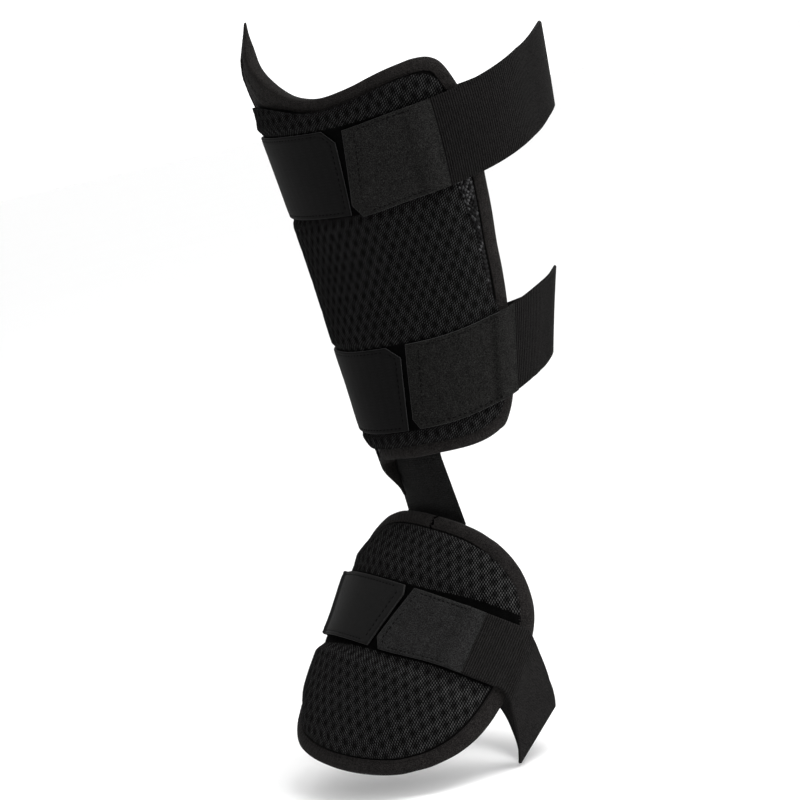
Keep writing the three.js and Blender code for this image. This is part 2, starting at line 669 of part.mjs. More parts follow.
// A domed pad on the foot guard, low along its edges and at the groove. Its
// outline keeps inside the bound edge and ends straight at the groove.
function footPad(row) {
  const wide = FOOT_COUNTS[0];
  const tall = 7;
  const inner = inset(footLoop, footAt, PAD_INSET);
  const topRun = inner.slice(0, wide + 1);
  const toeRun = inner.slice(2 * wide, 3 * wide + 1);
  const sideRows = inner.slice(wide, 2 * wide + 1).map(([angle, along]) => ({ angle, along }));
  const half = through(sideRows, 'along', 'angle');
  const instep = row.groove > 0;
  const from = instep ? topRun[wide][1] : row.from;
  const to = instep ? row.to : toeRun[0][1];
  const straight = (along, side) => Array.from({ length: wide + 1 }, (_, i) => [
    side * half(along) * (2 * i / wide - 1), along]);
  const bottom = instep ? topRun : straight(row.from, 1);
  const top = instep ? straight(row.to, -1) : toeRun;
  const right = Array.from({ length: tall + 1 }, (_, j) => {
    const along = from + (to - from) * j / tall;
    return [half(along), along];
  });
  const left = right.map(([angle, along]) => [-angle, along]).reverse();
  const outline = [bottom, right, top, left].flatMap((run) => run.slice(0, -1));
  const farEnd = instep ? row.from : row.to;
  const high = (angle, along) => {
    const sideways = 1 - Math.pow(Math.min(Math.abs(angle) / (half(along) + 2), 1), 4);
    const lengthways = smoothStep(0, 26, Math.abs(along - farEnd));
    const crown = PAD_EDGE_HIGH + (row.crown - PAD_EDGE_HIGH) * sideways * (0.55 + 0.45 * lengthways);
    const away = Math.abs(along - FOOT_STRAP_ALONG) - FOOT_STRAP_WIDTH / 2;
    const press = 1 - smoothStep(2, 11, away);
    return crown + (Math.min(PAD_UNDER_STRAP - sideDrop(angle), crown) - crown) * press;
  };
  const rings = [
    { inset: 0, low: same(PAD_LOW), high: same(PAD_EDGE_HIGH - 0.6) },
    { inset: 1.6, low: same(PAD_LOW), high: (a, b) => Math.min(PAD_EDGE_HIGH + 0.9, high(a, b)) },
    { inset: 4.2, low: same(PAD_LOW), high: (a, b) => Math.min(PAD_EDGE_HIGH + 2.2, high(a, b)) },
  ];
  return layer(row.name, BLACK_MESH, footAt, outline, [wide, tall], rings, { low: same(PAD_LOW), high });
}

const group = new THREE.Group();
group.name = 'batters_leg_guard';

group.add(layer('shin_liner', BLACK_FOAM, shinAt, inset(shinOutline, shinAt, LINER_INSET), SHIN_COUNTS, [
  { inset: 0, low: same(LINER_EDGE_LOW), high: same(LINER_HIGH) },
  { inset: 6.2, low: same(LINER_EDGE_LOW), high: same(LINER_HIGH) },
], { low: same(LINER_LOW), high: same(LINER_HIGH) }));
group.add(layer('shin_shell', BLACK_SHELL, shinAt, shellOutline, SHELL_COUNTS, [
  { inset: 0, low: same(SHELL_LOW), high: same(SHELL_HIGH) },
  { inset: 3, low: same(SHELL_LOW), high: same(SHELL_HIGH) },
], { low: same(SHELL_LOW), high: same(SHELL_HIGH) }));
group.add(layer('shin_cover', BLACK_MESH, shinAt, coverOutline, COVER_COUNTS, [
  { inset: 0, low: same(COVER_LOW), high: same(COVER_EDGE_HIGH) },
  { inset: 3, low: same(COVER_LOW), high: (a, b) => Math.min(coverHigh(a, b), -0.7) },
], { low: same(COVER_LOW), high: coverHigh }));
group.add(binding('shin_binding', BLACK_KNIT, shinAt, shinOutline, LINER_EDGE_LOW, LINER_HIGH));
group.add(elastic('upper_strap', UPPER_STRAP, UPPER_ELASTIC));
group.add(elastic('lower_strap', LOWER_STRAP, LOWER_ELASTIC));
SHIN_TABS.forEach((row) => {
  const strap = strapOf(row.strap);
  const bandAt = (angle, v, over) => shinAt(angle, loopHeight(strap, angle) + v * strap.width, over);
  group.add(tab(row.name, row, strap.width, 12, bandAt, STRAP_LOW));
});
group.add(linkStrap());

group.add(layer('foot_liner', BLACK_FOAM, footAt, inset(footLoop, footAt, LINER_INSET), FOOT_COUNTS, [
  { inset: 0, low: same(FOOT_LINER_LOW), high: same(FOOT_LINER_HIGH) },
  { inset: 6, low: same(FOOT_LINER_LOW), high: same(FOOT_LINER_HIGH) },
], { low: same(FOOT_LINER_LOW), high: same(FOOT_LINER_HIGH) }));
group.add(binding('foot_binding', BLACK_KNIT, footAt, footLoop, FOOT_LINER_LOW, FOOT_LINER_HIGH));
FOOT_PADS.forEach((row) => group.add(footPad(row)));
group.add(sweep('foot_strap', BLACK_ELASTIC, footStrapRings(), false));
FOOT_TABS.forEach((row) => {
  const along = (v) => FOOT_STRAP_ALONG + v * FOOT_STRAP_WIDTH;
  const bandAt = (angle, v, over) => footAt(angle, along(v), over - sideDrop(angle));
  group.add(tab(row.name, row, FOOT_STRAP_WIDTH, 8, bandAt, FOOT_STRAP_LOW));
});

export default group;
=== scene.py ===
# The dressed leg guard: mesh, knit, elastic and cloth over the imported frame.
# Lengths in the tables are millimetres, angles are degrees.
import math

import bpy
import numpy as np
from mathutils import Matrix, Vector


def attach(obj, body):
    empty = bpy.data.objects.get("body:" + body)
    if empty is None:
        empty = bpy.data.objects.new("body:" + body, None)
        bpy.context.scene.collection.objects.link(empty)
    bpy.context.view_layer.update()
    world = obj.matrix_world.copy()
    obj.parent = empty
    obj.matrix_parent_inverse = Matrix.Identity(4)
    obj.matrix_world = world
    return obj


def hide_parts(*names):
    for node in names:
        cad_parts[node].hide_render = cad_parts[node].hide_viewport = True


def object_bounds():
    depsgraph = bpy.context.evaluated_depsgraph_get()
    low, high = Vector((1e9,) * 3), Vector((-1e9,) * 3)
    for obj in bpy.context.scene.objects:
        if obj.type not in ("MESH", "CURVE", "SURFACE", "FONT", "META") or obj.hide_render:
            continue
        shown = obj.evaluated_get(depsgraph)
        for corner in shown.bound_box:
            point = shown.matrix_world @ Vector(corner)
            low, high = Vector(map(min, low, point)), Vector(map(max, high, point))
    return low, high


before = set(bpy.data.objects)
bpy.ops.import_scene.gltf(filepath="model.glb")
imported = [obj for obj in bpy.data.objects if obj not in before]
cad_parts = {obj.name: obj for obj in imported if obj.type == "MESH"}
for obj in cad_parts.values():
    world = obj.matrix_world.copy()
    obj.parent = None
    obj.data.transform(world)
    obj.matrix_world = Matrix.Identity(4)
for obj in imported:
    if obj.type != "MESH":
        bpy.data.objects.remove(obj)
cad_box = [[float(v) for v in corner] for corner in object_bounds()]

MM = 0.001
RAD = math.pi / 180

# Shin section: height, half width, front depth, shift forward, back depth.
SHIN_SECTION = np.array([
    (-20, 48.4, 44.3, 1.2, 30.9), (10, 55.2, 46.4, 0.1, 37.0), (40, 60.0, 47.0, -1.7, 43.4),
    (70, 65.6, 49.0, -5.3, 50.6), (100, 71.3, 51.5, -9.7, 58.6), (130, 76.4, 54.1, -12.5, 67.2),
    (160, 80.0, 56.6, -12.3, 79.0), (190, 81.8, 58.6, -9.6, 87.5), (220, 83.2, 61.0, -5.3, 93.5),
    (250, 72.0, 61.4, -0.1, 96.5),
])

# Outlines in four runs of (angle, height), from the lower left round by the right.
SHIN_RUNS = (
    ((-64, -4), (-59.6, -7.2), (-54, -10.6), (-49, -14), (-45.4, -17.2), (-43.8, -12), (-42.6, -3.6),
     (-39, 2.9), (-26, 4.6), (-5, 4.8), (11, 5.3), (22, 5.5), (33, 5.9), (43.3, 7.2),
     (52.6, 9.8), (60, 13.8)),
    ((60, 13.8), (65, 19.4), (66.4, 27), (66.2, 50), (65, 75), (62.4, 90.6), (59.6, 106), (57.8, 126.7),
     (56.7, 143.6), (56.4, 165), (55.6, 180), (53, 190.6), (50, 199.4)),
    ((50, 199.4), (47.1, 203.6), (42.8, 205.9), (37.5, 206.3), (23.5, 203.8), (9, 199.6), (-4, 197.6),
     (-12, 198.3), (-21.8, 202.1), (-27.8, 207), (-32.8, 213), (-38, 220), (-44, 228), (-50.8, 238),
     (-57, 245), (-61.6, 243), (-67, 235)),
    ((-67, 235), (-72.6, 225), (-75.4, 211), (-74.6, 186), (-72, 150), (-70, 105), (-70, 60), (-71, 20),
     (-68.8, 4), (-64, -4)),
)
SHELL_RUNS = (
    ((-54, 16.4), (-44, 14.2), (-26, 14), (11, 14.8), (33, 15.5), (45, 18), (51.6, 22)),
    ((51.6, 22), (55.6, 28.6), (56.4, 50), (55.6, 75), (51.6, 106), (49.5, 143.6), (49, 168), (47.7, 181),
     (44.8, 190.6)),
    ((44.8, 190.6), (41.2, 195.2), (36.5, 196.9), (22.5, 194.5), (8.5, 191), (-6, 189.4), (-20, 192.2),
     (-30, 195.6), (-42, 198.4), (-55, 199.2)),
    ((-55, 199.2), (-62, 194), (-64.5, 180), (-63, 150), (-61, 105), (-60.4, 60), (-59.6, 28), (-54, 16.4)),
)
COVER_RUNS = (
    ((-53, 16.4), (-43, 14.2), (-26, 13.8), (11, 14.3), (33, 14.8), (45, 17.3), (52, 21.5)),
    ((52, 21.5), (56, 28.2), (57, 45), (55.6, 73), (52, 86), (47.4, 112), (43.2, 134), (41.2, 146),
     (42.6, 165), (45.5, 181), (44.4, 190.5)),
    ((44.4, 190.5), (40.6, 195), (35.6, 196.2), (22, 193.7), (8.5, 190.2), (-6, 188.5), (-20, 191.2),
     (-30, 194.6), (-42, 197.4), (-54, 198)),
    ((-54, 198), (-60.4, 193), (-62, 179), (-61.4, 160), (-60.4, 120), (-59.4, 78), (-59, 45),
     (-58.4, 28), (-53, 16.4)),
)
SHIN_COUNTS = (20, 12)
SHELL_COUNTS = (14, 10)
COVER_COUNTS = (18, 16)
SHIN_SCALE = 1.25

# Layers over the shin section.
LINER_EDGE_LOW = -10.1
LINER_LOW = -13.5
LINER_HIGH = -6.1
SHELL_LOW = -5.6
SHELL_HIGH = -3.6
COVER_LOW = -3.1
COVER_EDGE_HIGH = -1.9
COVER_HIGH = 0.8
COVER_UNDER_STRAP = -1.9
COVER_SHOULDER = -0.7
COVER_CORNER = -1.6
LINER_INSET = 1.9
# Heights that the edge draws together to at the wing's tip and the lobe, and the swelling below the tip.
WING_MIDDLE = -8.4
LOBE_MIDDLE = -10.8
WING_SWELL = 1.8

# Edge binding. Its floor, round and crest are measured in from the edge, its seam back from its inner side.
BINDING_WIDTH = 7.2
BINDING_WALL = 1.1
BINDING_SLACK = 0.45
BINDING_FLOOR = 1.3
BINDING_SEAM = 1.4
BINDING_ROUND = 2.4
BINDING_CREST = 3.6
BINDING_LOOKS = ["knit_binding", "binding_thread"]
HORN_WIDER = 9.8
# Puckers along the binding: depth, pitch, shift.
PUCKERS = ((0.07, 3.2, 0), (0.05, 11.3, 1))
# Butt join of the foot binding: depth of the slit, swelling beside it, unevenness.
JOIN_DEPTH = 1.1
JOIN_SWELL = 0.4
JOIN_JAG = 0.9

# Stitches: pitch, length, radius of the thread.
BINDING_STITCH = (3.2, 2.3, 0.2)
TAB_STITCH = (3.0, 1.86, 0.27)
# One stitch: place along it, then its size and height as shares of the thread's radius.
STITCH_FORM = np.array([
    (0, 0.3, -0.7), (0.15, 0.85, -0.1), (0.5, 1, 0.05), (0.85, 0.85, -0.1), (1, 0.3, -0.7),
])
STITCH_SIDES = 6

# Straps round the shin: width, heights by angle from -180 in steps, first and last angle of the elastic.
STRAP_STEP = 30
UPPER_WIDTH = 45.5
UPPER_HEIGHTS = (166.6, 162.6, 162.0, 162.0, 161.6, 159.5, 158.0, 160.6, 166.8, 176.6, 187.6, 176.8)
UPPER_ELASTIC = (32, 283.8)
LOWER_WIDTH = 44.6
LOWER_HEIGHTS = (43.4, 43.0, 43.8, 44.2, 43.8, 42.4, 42.4, 43.6, 49.5, 57.9, 61.7, 49.0)
LOWER_ELASTIC = (57, 283.8)
STRAP_LOW = -1.2
STRAP_THICK = 1.6
RIB_PITCH = 1.25
RIB_DEPTH = 0.13
RIB_STEP = 0.3125
# Places across a strap, as shares of its width.
ACROSS = (-0.5, 0.0, 0.5)
TAB_THICK = 1.8
BUTT_THICK = 1.3
BUTT_SINK = 0.3
LAP_LIFT = 2.0
# Tab sheet: places close to an edge, step of the others, seam in from the sides, groove, bevel, sway.
TAB_EDGE = (0, 0.2, 0.5, 0.95, 1.5)
TAB_STEP = 0.9
SEAM_SIDE = 2.0
GROOVE_DEPTH = 0.22
BEVEL = 0.5
SWAY = 0.12
# Stands for a distance that is out of reach of a seam or an edge.
FAR = 9

# Tabs: free end at the two edges, sewn end, lap, side of the cut corner, cut across, cut along.
UPPER_LEFT_TAB = (-5.6, -2, -76, 9, 1, 7, 5.5)
UPPER_RIGHT_TAB = (-4.6, 2.4, 40, 9, -1, 7, 5)
LOWER_LEFT_TAB = (-0.9, 4, -76, 10, 1, 6.5, 8.5)
LOWER_RIGHT_TAB = (3.2, 7.4, 66, 10, -1, 5.5, 4)
FOOT_LEFT_TAB = (5.5, -4.4, -70, 9, -1, 5, 2.5)
FOOT_RIGHT_TAB = (8.6, -2.4, 46, 9, 1, 6, 5)

# Foot guard frame, section (along, half width, drop) and half outline (angle, along).
FOOT_POINT = np.array((2.1, -29.85, -21.84))
FOOT_ALONG = np.array((-0.33382, -0.52385, -0.78367))
FOOT_ACROSS = np.array((0.93198, -0.30805, -0.19108))
FOOT_OUT = np.array((-0.14131, -0.79415, 0.59106))
FOOT_SECTION = np.array([
    (0, 54.4, 28.2), (40, 70.7, 28.9), (80, 69.4, 30.2), (120, 65.6, 25.2), (158, 57.1, 24.6),
])
FOOT_OUTLINE = (
    (0, 10.2), (16, 10.3), (30.5, 11.6), (43.4, 14.7), (55, 20), (64, 27), (74.2, 39.6), (80, 54.5),
    (81.2, 68), (81, 83), (80.2, 97.5), (78.2, 109.8), (69.6, 124), (56.5, 135.9), (41, 144.6),
    (21.5, 149.8), (0, 151.6),
)
FOOT_TOP_CORNER = 3
FOOT_TOE_CORNER = 13
FOOT_COUNTS = (14, 14)
FOOT_SCALE = 1.15
TOE_LEAN = -3.3
TOE_LEAN_RANGE = (90, 150)
MIRROR = np.array((-1, 1))
FOOT_LINER_LOW = -0.1
FOOT_LINER_HIGH = 3.6
PAD_LOW = 4.2
PAD_EDGE_HIGH = 5.4
PAD_INSET = 8.8
PAD_UNDER_STRAP = 8.0
PAD_SIDE_DROP = 2.2
# Pads: start and end along the foot, height of the crown.
INSTEP_PAD = (18.4, 61, 10.2)
TOE_PAD = (77, 142.6, 12.6)
FOOT_STRAP_ALONG = 68.6
FOOT_STRAP_WIDTH = 36
STRAP_NARROWS = 2.6
FOOT_STRAP_LOW = 8.4
FOOT_STRAP_ANGLE = 72
FOOT_ELASTIC = (40.5, -64)
# Free loop below the foot: along, across, out, tilt of the width.
FOOT_LOOP = (
    (73, 77.2, -23, 1), (85, 74.8, -40, 8), (97, 70.5, -55, 13), (87, 54, -63.5, 12), (72, 28, -66, 8),
    (66, 0, -66.5, 6),
)

# Tab sizes: width, height of the lower face, millimetres a degree.
UPPER_TAB_SIZE = (UPPER_WIDTH, STRAP_LOW, 1.32)
LOWER_TAB_SIZE = (LOWER_WIDTH, STRAP_LOW, 1.02)
FOOT_TAB_SIZE = (FOOT_STRAP_WIDTH, FOOT_STRAP_LOW, 1.15)

# Link strap: its two sides on the shin (across) and on the foot (angle).
LINK_WIDTH = 40.0
LINK_SHIN = (-33.4, 6.5)
LINK_FOOT = (-43, 16.5)
LINK_THICK = 1.6
LINK_SHIN_HIGH = -12
LINK_FOOT_HIGH = -1.9

# Mesh: direction and pitch of its loops, direction and pitch of its holes.
SHIN_MESH = (152, 1.18, 1, 5.5)
FOOT_MESH = (156, 1.2, 2, 5.5)
# The holes come from three crossing waves: direction and share.
HOLE_WAVES = ((150, 0.48), (210, 0.48), (90, 0.16))
# How deep the mesh lies beside its loops, between them and in its holes, and its least height.
LOOP_SADDLE = 0.26
LOOP_GAP = 0.4
HOLE_DEPTH = 0.35
MESH_CLEAR = 0.3

# Vent: steps across and up, and one lozenge's points (across, up, rise).
VENT_STEP = (1.9, 1.45)
LOZENGE = np.array([
    (0.92, 0, 0), (0, 1.2, 0), (-0.92, 0, 0), (0, -1.2, 0),
    (0.46, 0, 0.42), (0, 0.6, 0.42), (-0.46, 0, 0.42), (0, -0.6, 0.42),
])
LOZENGE_FACES = np.array([(0, 1, 5, 4), (1, 2, 6, 5), (2, 3, 7, 6), (3, 0, 4, 7), (4, 5, 6, 7)])

# Woven cloths: dark and light colour, pitch along and across, relief, sheen, specular level, specks,
# and for one the least and most roughness.
WEAVES = {
    # The first cloth is painted shade: near-black mesh between the tabs' ends and in the groove beside the
    # foot strap.
    "mesh_painted_shade": ((0.0008, 0.0008, 0.0008), (0.0032, 0.0032, 0.0032), 0.9, 0.9, 0.05, 0.0, 0.01, 0.5),
    "mesh_hole": ((0.0002, 0.0002, 0.0002), (0.0006, 0.0006, 0.0006), 0.9, 0.9, 0.05, 0.0, 0.0, 0.5),
    "mesh_base": ((0.0008, 0.0008, 0.0008), (0.002, 0.002, 0.0021), 0.9, 0.9, 0.1, 0.0, 0.01, 0.5),
    "binding_thread": ((0.004, 0.0037, 0.0035), (0.0085, 0.0077, 0.0073), 0.45, 0.3, 0.04, 0.03, 0.03, 0.5),
    "plain_webbing": ((0.002, 0.002, 0.002), (0.016, 0.0159, 0.0156), 1.1, 0.9, 0.1, 0.02, 0.03, 0.9),
    "tab_satin": (
        (0.0034, 0.0034, 0.0034), (0.0064, 0.0064, 0.0065), 6.0, 1.6, 0.03, 0.035, 0.03, 0.25, (0.7, 0.85),
    ),
    "tab_grain": ((0.0022, 0.0022, 0.0021), (0.0215, 0.0214, 0.0206), 0.7, 0.62, 0.08, 0.03, 0.03, 1.0),
    # The lower right tab takes a darker copy of the grain cloth, painted shade.
    "tab_grain_low_shaded": ((0.0019, 0.0019, 0.0018), (0.0185, 0.0185, 0.0176), 0.7, 0.62, 0.08, 0.03, 0.03, 1.0),
    # The foot's right tab takes a lighter copy of the grain cloth, painted light.
    "tab_grain_foot_lit": ((0.004, 0.004, 0.004), (0.031, 0.0309, 0.0307), 0.7, 0.62, 0.08, 0.03, 0.03, 0.8),
    "tab_left_foot": ((0.005, 0.005, 0.005), (0.0135, 0.0134, 0.0134), 0.7, 0.62, 0.06, 0.03, 0.03, 0.3),
    # Lighter cloth for the tabs' cut edges and rims: painted highlight.
    "tab_edge_highlight": ((0.012, 0.012, 0.0125), (0.034, 0.034, 0.035), 0.9, 0.4, 0.05, 0.1, 0.03, 0.5),
    "tab_rim_highlight": ((0.014, 0.014, 0.014), (0.034, 0.0335, 0.033), 0.9, 0.4, 0.05, 0.05, 0.03, 0.5),
    "sewing_thread": ((0.0006, 0.0006, 0.0006), (0.0018, 0.0018, 0.0018), 0.45, 0.3, 0.04, 0.0, 0.03, 0.5),
    "brushed_liner": ((0.0025, 0.0024, 0.0023), (0.007, 0.0066, 0.0064), 0.8, 0.8, 0.1, 0.05, 0.03, 0.5),
}
CLOTH_ROUGH = (0.75, 0.95)
SHEEN_ROUGH = 0.45

# Camera: distance, scale in pixels a millimetre, the origin's pixel, and its axes.
CAMERA_DISTANCE = 1500
CAMERA_SCALE = 1.872337
CAMERA_ORIGIN = (465.79, 446.87)
CAMERA_RIGHT = np.array((0.81222536, 0.53608514, -0.23000584))
CAMERA_UP = np.array((0.113549, 0.24145392, 0.96374614))
CAMERA_BACK = np.array((0.5721858, -0.80889599, 0.13524306))
IMAGE_SIZE = 800

# World: two places along the camera's right axis, and the strength at them.
WORLD_LEVELS = (-0.75, -0.15, 0.2, 1.38)
# Lights: name, metres right, up and back in the camera's axes, size in metres, power.
LIGHTS = (("key", 0.6, 2.0, 0.9, 1.2, 34), ("fill", 1.8, 0.4, 1.0, 1.2, 34))
FLOOR_REACH = 20000.0
# Points handled at once when distances are measured.
BATCH = 4000


def smooth_step(low, high, x):
    t = np.clip((np.asarray(x, float) - low) / (high - low), 0, 1)
    return t * t * (3 - 2 * t)


def step_down(low, high, x):
    return 1 - smooth_step(low, high, x)


def window(start, full, drop, end, x):
    """1 from full to drop, 0 before start and after end."""
    return smooth_step(start, full, x) * step_down(drop, end, x)


def bell(x, width):
    return np.exp(-(x / width) ** 2)


def unit(vectors):
    return vectors / np.linalg.norm(vectors, axis=-1, keepdims=True)


def dot(one, two):
    return np.sum(one * two, axis=-1)


def path_lengths(points):
    """Lengths along a path from its first point."""
    return np.concatenate([[0], np.cumsum(np.linalg.norm(np.diff(points, axis=0), axis=1))])


def between(a, b, c, d, t):
    """A smooth curve from b to c, with a before and d after them."""
    return b + 0.5 * t * (c - a + t * (2 * a - 5 * b + 4 * c - d + t * (3 * (b - c) + d - a)))


def through(xs, ys):
    """A smooth curve through points, straight beyond its ends."""
    xs = np.asarray(xs, float)
    ys = np.asarray(ys, float)
    last = len(xs) - 1
    before = np.maximum(np.arange(last + 1) - 1, 0)
    after = np.minimum(np.arange(last + 1) + 1, last)
    slopes = (ys[after] - ys[before]) / (xs[after] - xs[before])

    def curve(x):
        x = np.asarray(x, float)
        i = np.clip(np.searchsorted(xs, x) - 1, 0, last - 1)
        width = xs[i + 1] - xs[i]
        t = np.clip((x - xs[i]) / width, 0, 1)
        t2 = t * t
        t3 = t2 * t
        y = (2 * t3 - 3 * t2 + 1) * ys[i] + (t3 - 2 * t2 + t) * width * slopes[i]
        y = y + (3 * t2 - 2 * t3) * ys[i + 1] + (t3 - t2) * width * slopes[i + 1]
        y = y + slopes[0] * np.minimum(x - xs[0], 0)
        return y + slopes[last] * np.maximum(x - xs[last], 0)

    return curve


def columns_through(table):
    """Smooth curves through a table's columns, over its first column."""
    return [through(table[:, 0], column) for column in table.T[1:]]


shin_width, shin_front, shin_shift, shin_back = columns_through(SHIN_SECTION)
foot_width, foot_drop = columns_through(FOOT_SECTION)


def shin_at(angle, height, over):
    """A point on the shin: angle from the front, height, distance over the section."""
    angle, height, over = np.broadcast_arrays(angle, height, over)
    turn = angle * RAD
    across = shin_width(height)
    deep = np.where(np.cos(turn) >= 0, shin_front(height), shin_back(height))
    normal_x = np.sin(turn) / across
    normal_f = np.cos(turn) / deep
    size = np.hypot(normal_x, normal_f)
    x = across * np.sin(turn) + over * normal_x / size
    front = deep * np.cos(turn) + shin_shift(height) + over * normal_f / size
    return np.stack([x, -front, height + 0.0 * x], axis=-1)


def foot_point(along, across, out):
    along, across, out = np.broadcast_arrays(along, across, out)
    point = FOOT_POINT + along[..., None] * FOOT_ALONG
    return point + across[..., None] * FOOT_ACROSS + out[..., None] * FOOT_OUT


def foot_at(angle, along, over):
    """A point on the foot: angle across, distance along, distance over the section."""
    turn = np.asarray(angle, float) * RAD
    across = (foot_width(along) + over) * np.sin(turn)
    out = foot_drop(along) * (np.cos(turn) - 1) + over * np.cos(turn)
    lean = TOE_LEAN * np.sin(turn) * smooth_step(*TOE_LEAN_RANGE, along)
    return foot_point(along + lean, across, out)


def outward_at(surface, a, b):
    return surface(a, b, 1.0) - surface(a, b, 0.0)


GAUSS_PLACES, GAUSS_WEIGHTS = np.polynomial.legendre.leggauss(8)


def arc_of(angle, wide, deep):
    """Length along an oval from its front to an angle."""
    turn = np.asarray(angle, float) * RAD
    places = turn[..., None] * (GAUSS_PLACES + 1) / 2
    wide = np.asarray(wide)[..., None]
    deep = np.asarray(deep)[..., None]
    speed = np.hypot(wide * np.cos(places), deep * np.sin(places))
    return turn / 2 * (speed * GAUSS_WEIGHTS).sum(axis=-1)


def angle_of(arc, wide, deep):
    """The angle at a length along an oval from its front."""
    angle = arc / wide / RAD
    for _ in range(6):
        speed = np.hypot(wide * np.cos(angle * RAD), deep * np.sin(angle * RAD)) * RAD
        angle = angle - (arc_of(angle, wide, deep) - arc) / speed
    return angle


def flat_pair(wide, deep):
    """Two functions, from surface coordinates to flat millimetres and back."""

    def flatten(angle, place):
        return np.stack([arc_of(angle, wide(place), deep(place)), place], axis=-1)

    def unflatten(flat):
        place = flat[..., 1]
        return angle_of(flat[..., 0], wide(place), deep(place)), place

    return flatten, unflatten


shin_flat, shin_unflat = flat_pair(shin_width, shin_front)
foot_flat, foot_unflat = flat_pair(foot_width, foot_drop)


def loop_height(heights, angle):
    """Strap height round the shin, a closed smooth curve through its table."""
    table = np.array(heights)
    place = (np.asarray(angle, float) + 180) / STRAP_STEP % len(table)
    i = np.floor(place).astype(int)
    near = [table[(i + k) % len(table)] for k in (-1, 0, 1, 2)]
    return between(*near, place - i)


def spread(rows, count, scale):
    """Points spread evenly along a run of table rows."""
    rows = np.array(rows, float)
    lengths = path_lengths(rows * np.array((scale, 1)))
    at = np.linspace(0, lengths[-1], count + 1)
    return np.stack([through(lengths, column)(at) for column in rows.T], axis=-1)


def closed_outline(runs, counts, scale):
    return np.concatenate([spread(run, side, scale)[:-1] for run, side in zip(runs, counts * 2)])


def inset(outline, surface, distance):
    """Moves a closed outline inward over a surface."""
    step = 0.05
    a, b = outline.T
    here = surface(a, b, 0.0)
    along_a = (surface(a + step, b, 0.0) - here) / step
    along_b = (surface(a, b + step, 0.0) - here) / step
    following = np.roll(outline, -1, axis=0)
    turn = np.sum(a * following[:, 1] - b * following[:, 0])
    path = unit(np.roll(here, -1, axis=0) - np.roll(here, 1, axis=0))
    inward = np.cross(unit(np.cross(along_a, along_b)), path) * (1 if turn > 0 else -1)
    aa = dot(along_a, along_a)
    ab = dot(along_a, along_b)
    bb = dot(along_b, along_b)
    ra = dot(along_a, inward)
    rb = dot(along_b, inward)
    moves = np.stack([ra * bb - rb * ab, rb * aa - ra * ab], axis=-1)
    return outline + distance * (moves / (aa * bb - ab * ab)[:, None])


def refine(loop, factor):
    """A closed loop with more points on smooth curves between its own."""
    near = [np.roll(loop, shift, axis=0)[:, None] for shift in (1, 0, -1, -2)]
    return between(*near, (np.arange(factor) / factor)[:, None]).reshape(-1, loop.shape[1])


def fill(outline, wide, tall):
    """A grid of surface coordinates inside a closed outline of four runs."""
    bottom = outline[:wide + 1][:, None]
    right = outline[wide:wide + tall + 1]
    top = outline[wide + tall:2 * wide + tall + 1][::-1][:, None]
    left = np.concatenate([outline[2 * wide + tall:], outline[:1]])[::-1]
    u = np.linspace(0, 1, wide + 1)[:, None, None]
    v = np.linspace(0, 1, tall + 1)[:, None]
    grid = (1 - v) * bottom + v * top + (1 - u) * left + u * right
    grid = grid - (1 - u) * (1 - v) * bottom[0, 0] - u * (1 - v) * bottom[wide, 0]
    return grid - (1 - u) * v * top[0, 0] - u * v * top[wide, 0]


def grid_faces(rows, columns, wrap_rows=False, wrap_columns=False):
    """Quads of a grid of points given row by row."""
    ids = np.arange(rows * columns).reshape(rows, columns)
    if wrap_rows:
        ids = np.concatenate([ids, ids[:1]])
    if wrap_columns:
        ids = np.concatenate([ids, ids[:, :1]], axis=1)
    return np.stack([ids[:-1, :-1], ids[:-1, 1:], ids[1:, 1:], ids[1:, :-1]], axis=-1).reshape(-1, 4)


def turned_out(points, faces, outward=None):
    """The quads, turned so that a closed form or an open sheet faces outward."""
    a, b, c, d = (points[faces[:, k]] for k in range(4))
    if outward is None:
        facing = np.sum(a * np.cross(b, c)) + np.sum(a * np.cross(c, d))
    else:
        facing = np.sum(np.cross(b - a, c - a) * outward[faces[:, 0]])
    return faces if facing > 0 else faces[:, ::-1]


def chunk(points, faces, flat, material=0):
    return {"points": points, "faces": faces, "flat": flat, "material": material}


def face_middles(part, key):
    return part[key][part["faces"]].mean(axis=1)


def two_sided(bottom, top, side, rim, flat):
    """A closed form from a lower and an upper sheet with the same faces, walled round their rim."""
    count = len(bottom)
    following = np.roll(rim, -1)
    wall = np.stack([rim, following, following + count, rim + count], axis=-1)
    points = np.concatenate([bottom, top])
    faces = np.concatenate([side[:, ::-1], side + count, wall])
    return chunk(points, turned_out(points, faces), np.concatenate([flat, flat]))


def make_object(name, chunks, materials):
    """A mesh object from chunks of points, quads, flat coordinates and a material."""
    starts = np.cumsum([0] + [len(part["points"]) for part in chunks])
    points = np.concatenate([part["points"] for part in chunks]) * MM
    flats = np.concatenate([part["flat"] for part in chunks])
    faces = np.concatenate([part["faces"] + start for part, start in zip(chunks, starts)])
    indices = np.concatenate([np.broadcast_to(part["material"], len(part["faces"])) for part in chunks])
    loops = faces.astype(np.int32).ravel()
    mesh = bpy.data.meshes.new(name)
    mesh.vertices.add(len(points))
    mesh.vertices.foreach_set("co", points.astype(np.float32).ravel())
    mesh.loops.add(len(loops))
    mesh.loops.foreach_set("vertex_index", loops)
    mesh.polygons.add(len(faces))
    mesh.polygons.foreach_set("loop_start", np.arange(0, len(loops), 4, dtype=np.int32))
    mesh.polygons.foreach_set("material_index", indices.astype(np.int32))
    mesh.polygons.foreach_set("use_smooth", np.ones(len(faces), dtype=bool))
    layer = mesh.uv_layers.new(name="flat")
    layer.data.foreach_set("uv", flats[loops].astype(np.float32).ravel())
    for material in materials:
        mesh.materials.append(material)
    mesh.update(calc_edges=True)
    mesh.validate()
    thing = bpy.data.objects.new(name, mesh)
    bpy.context.scene.collection.objects.link(thing)
    return thing


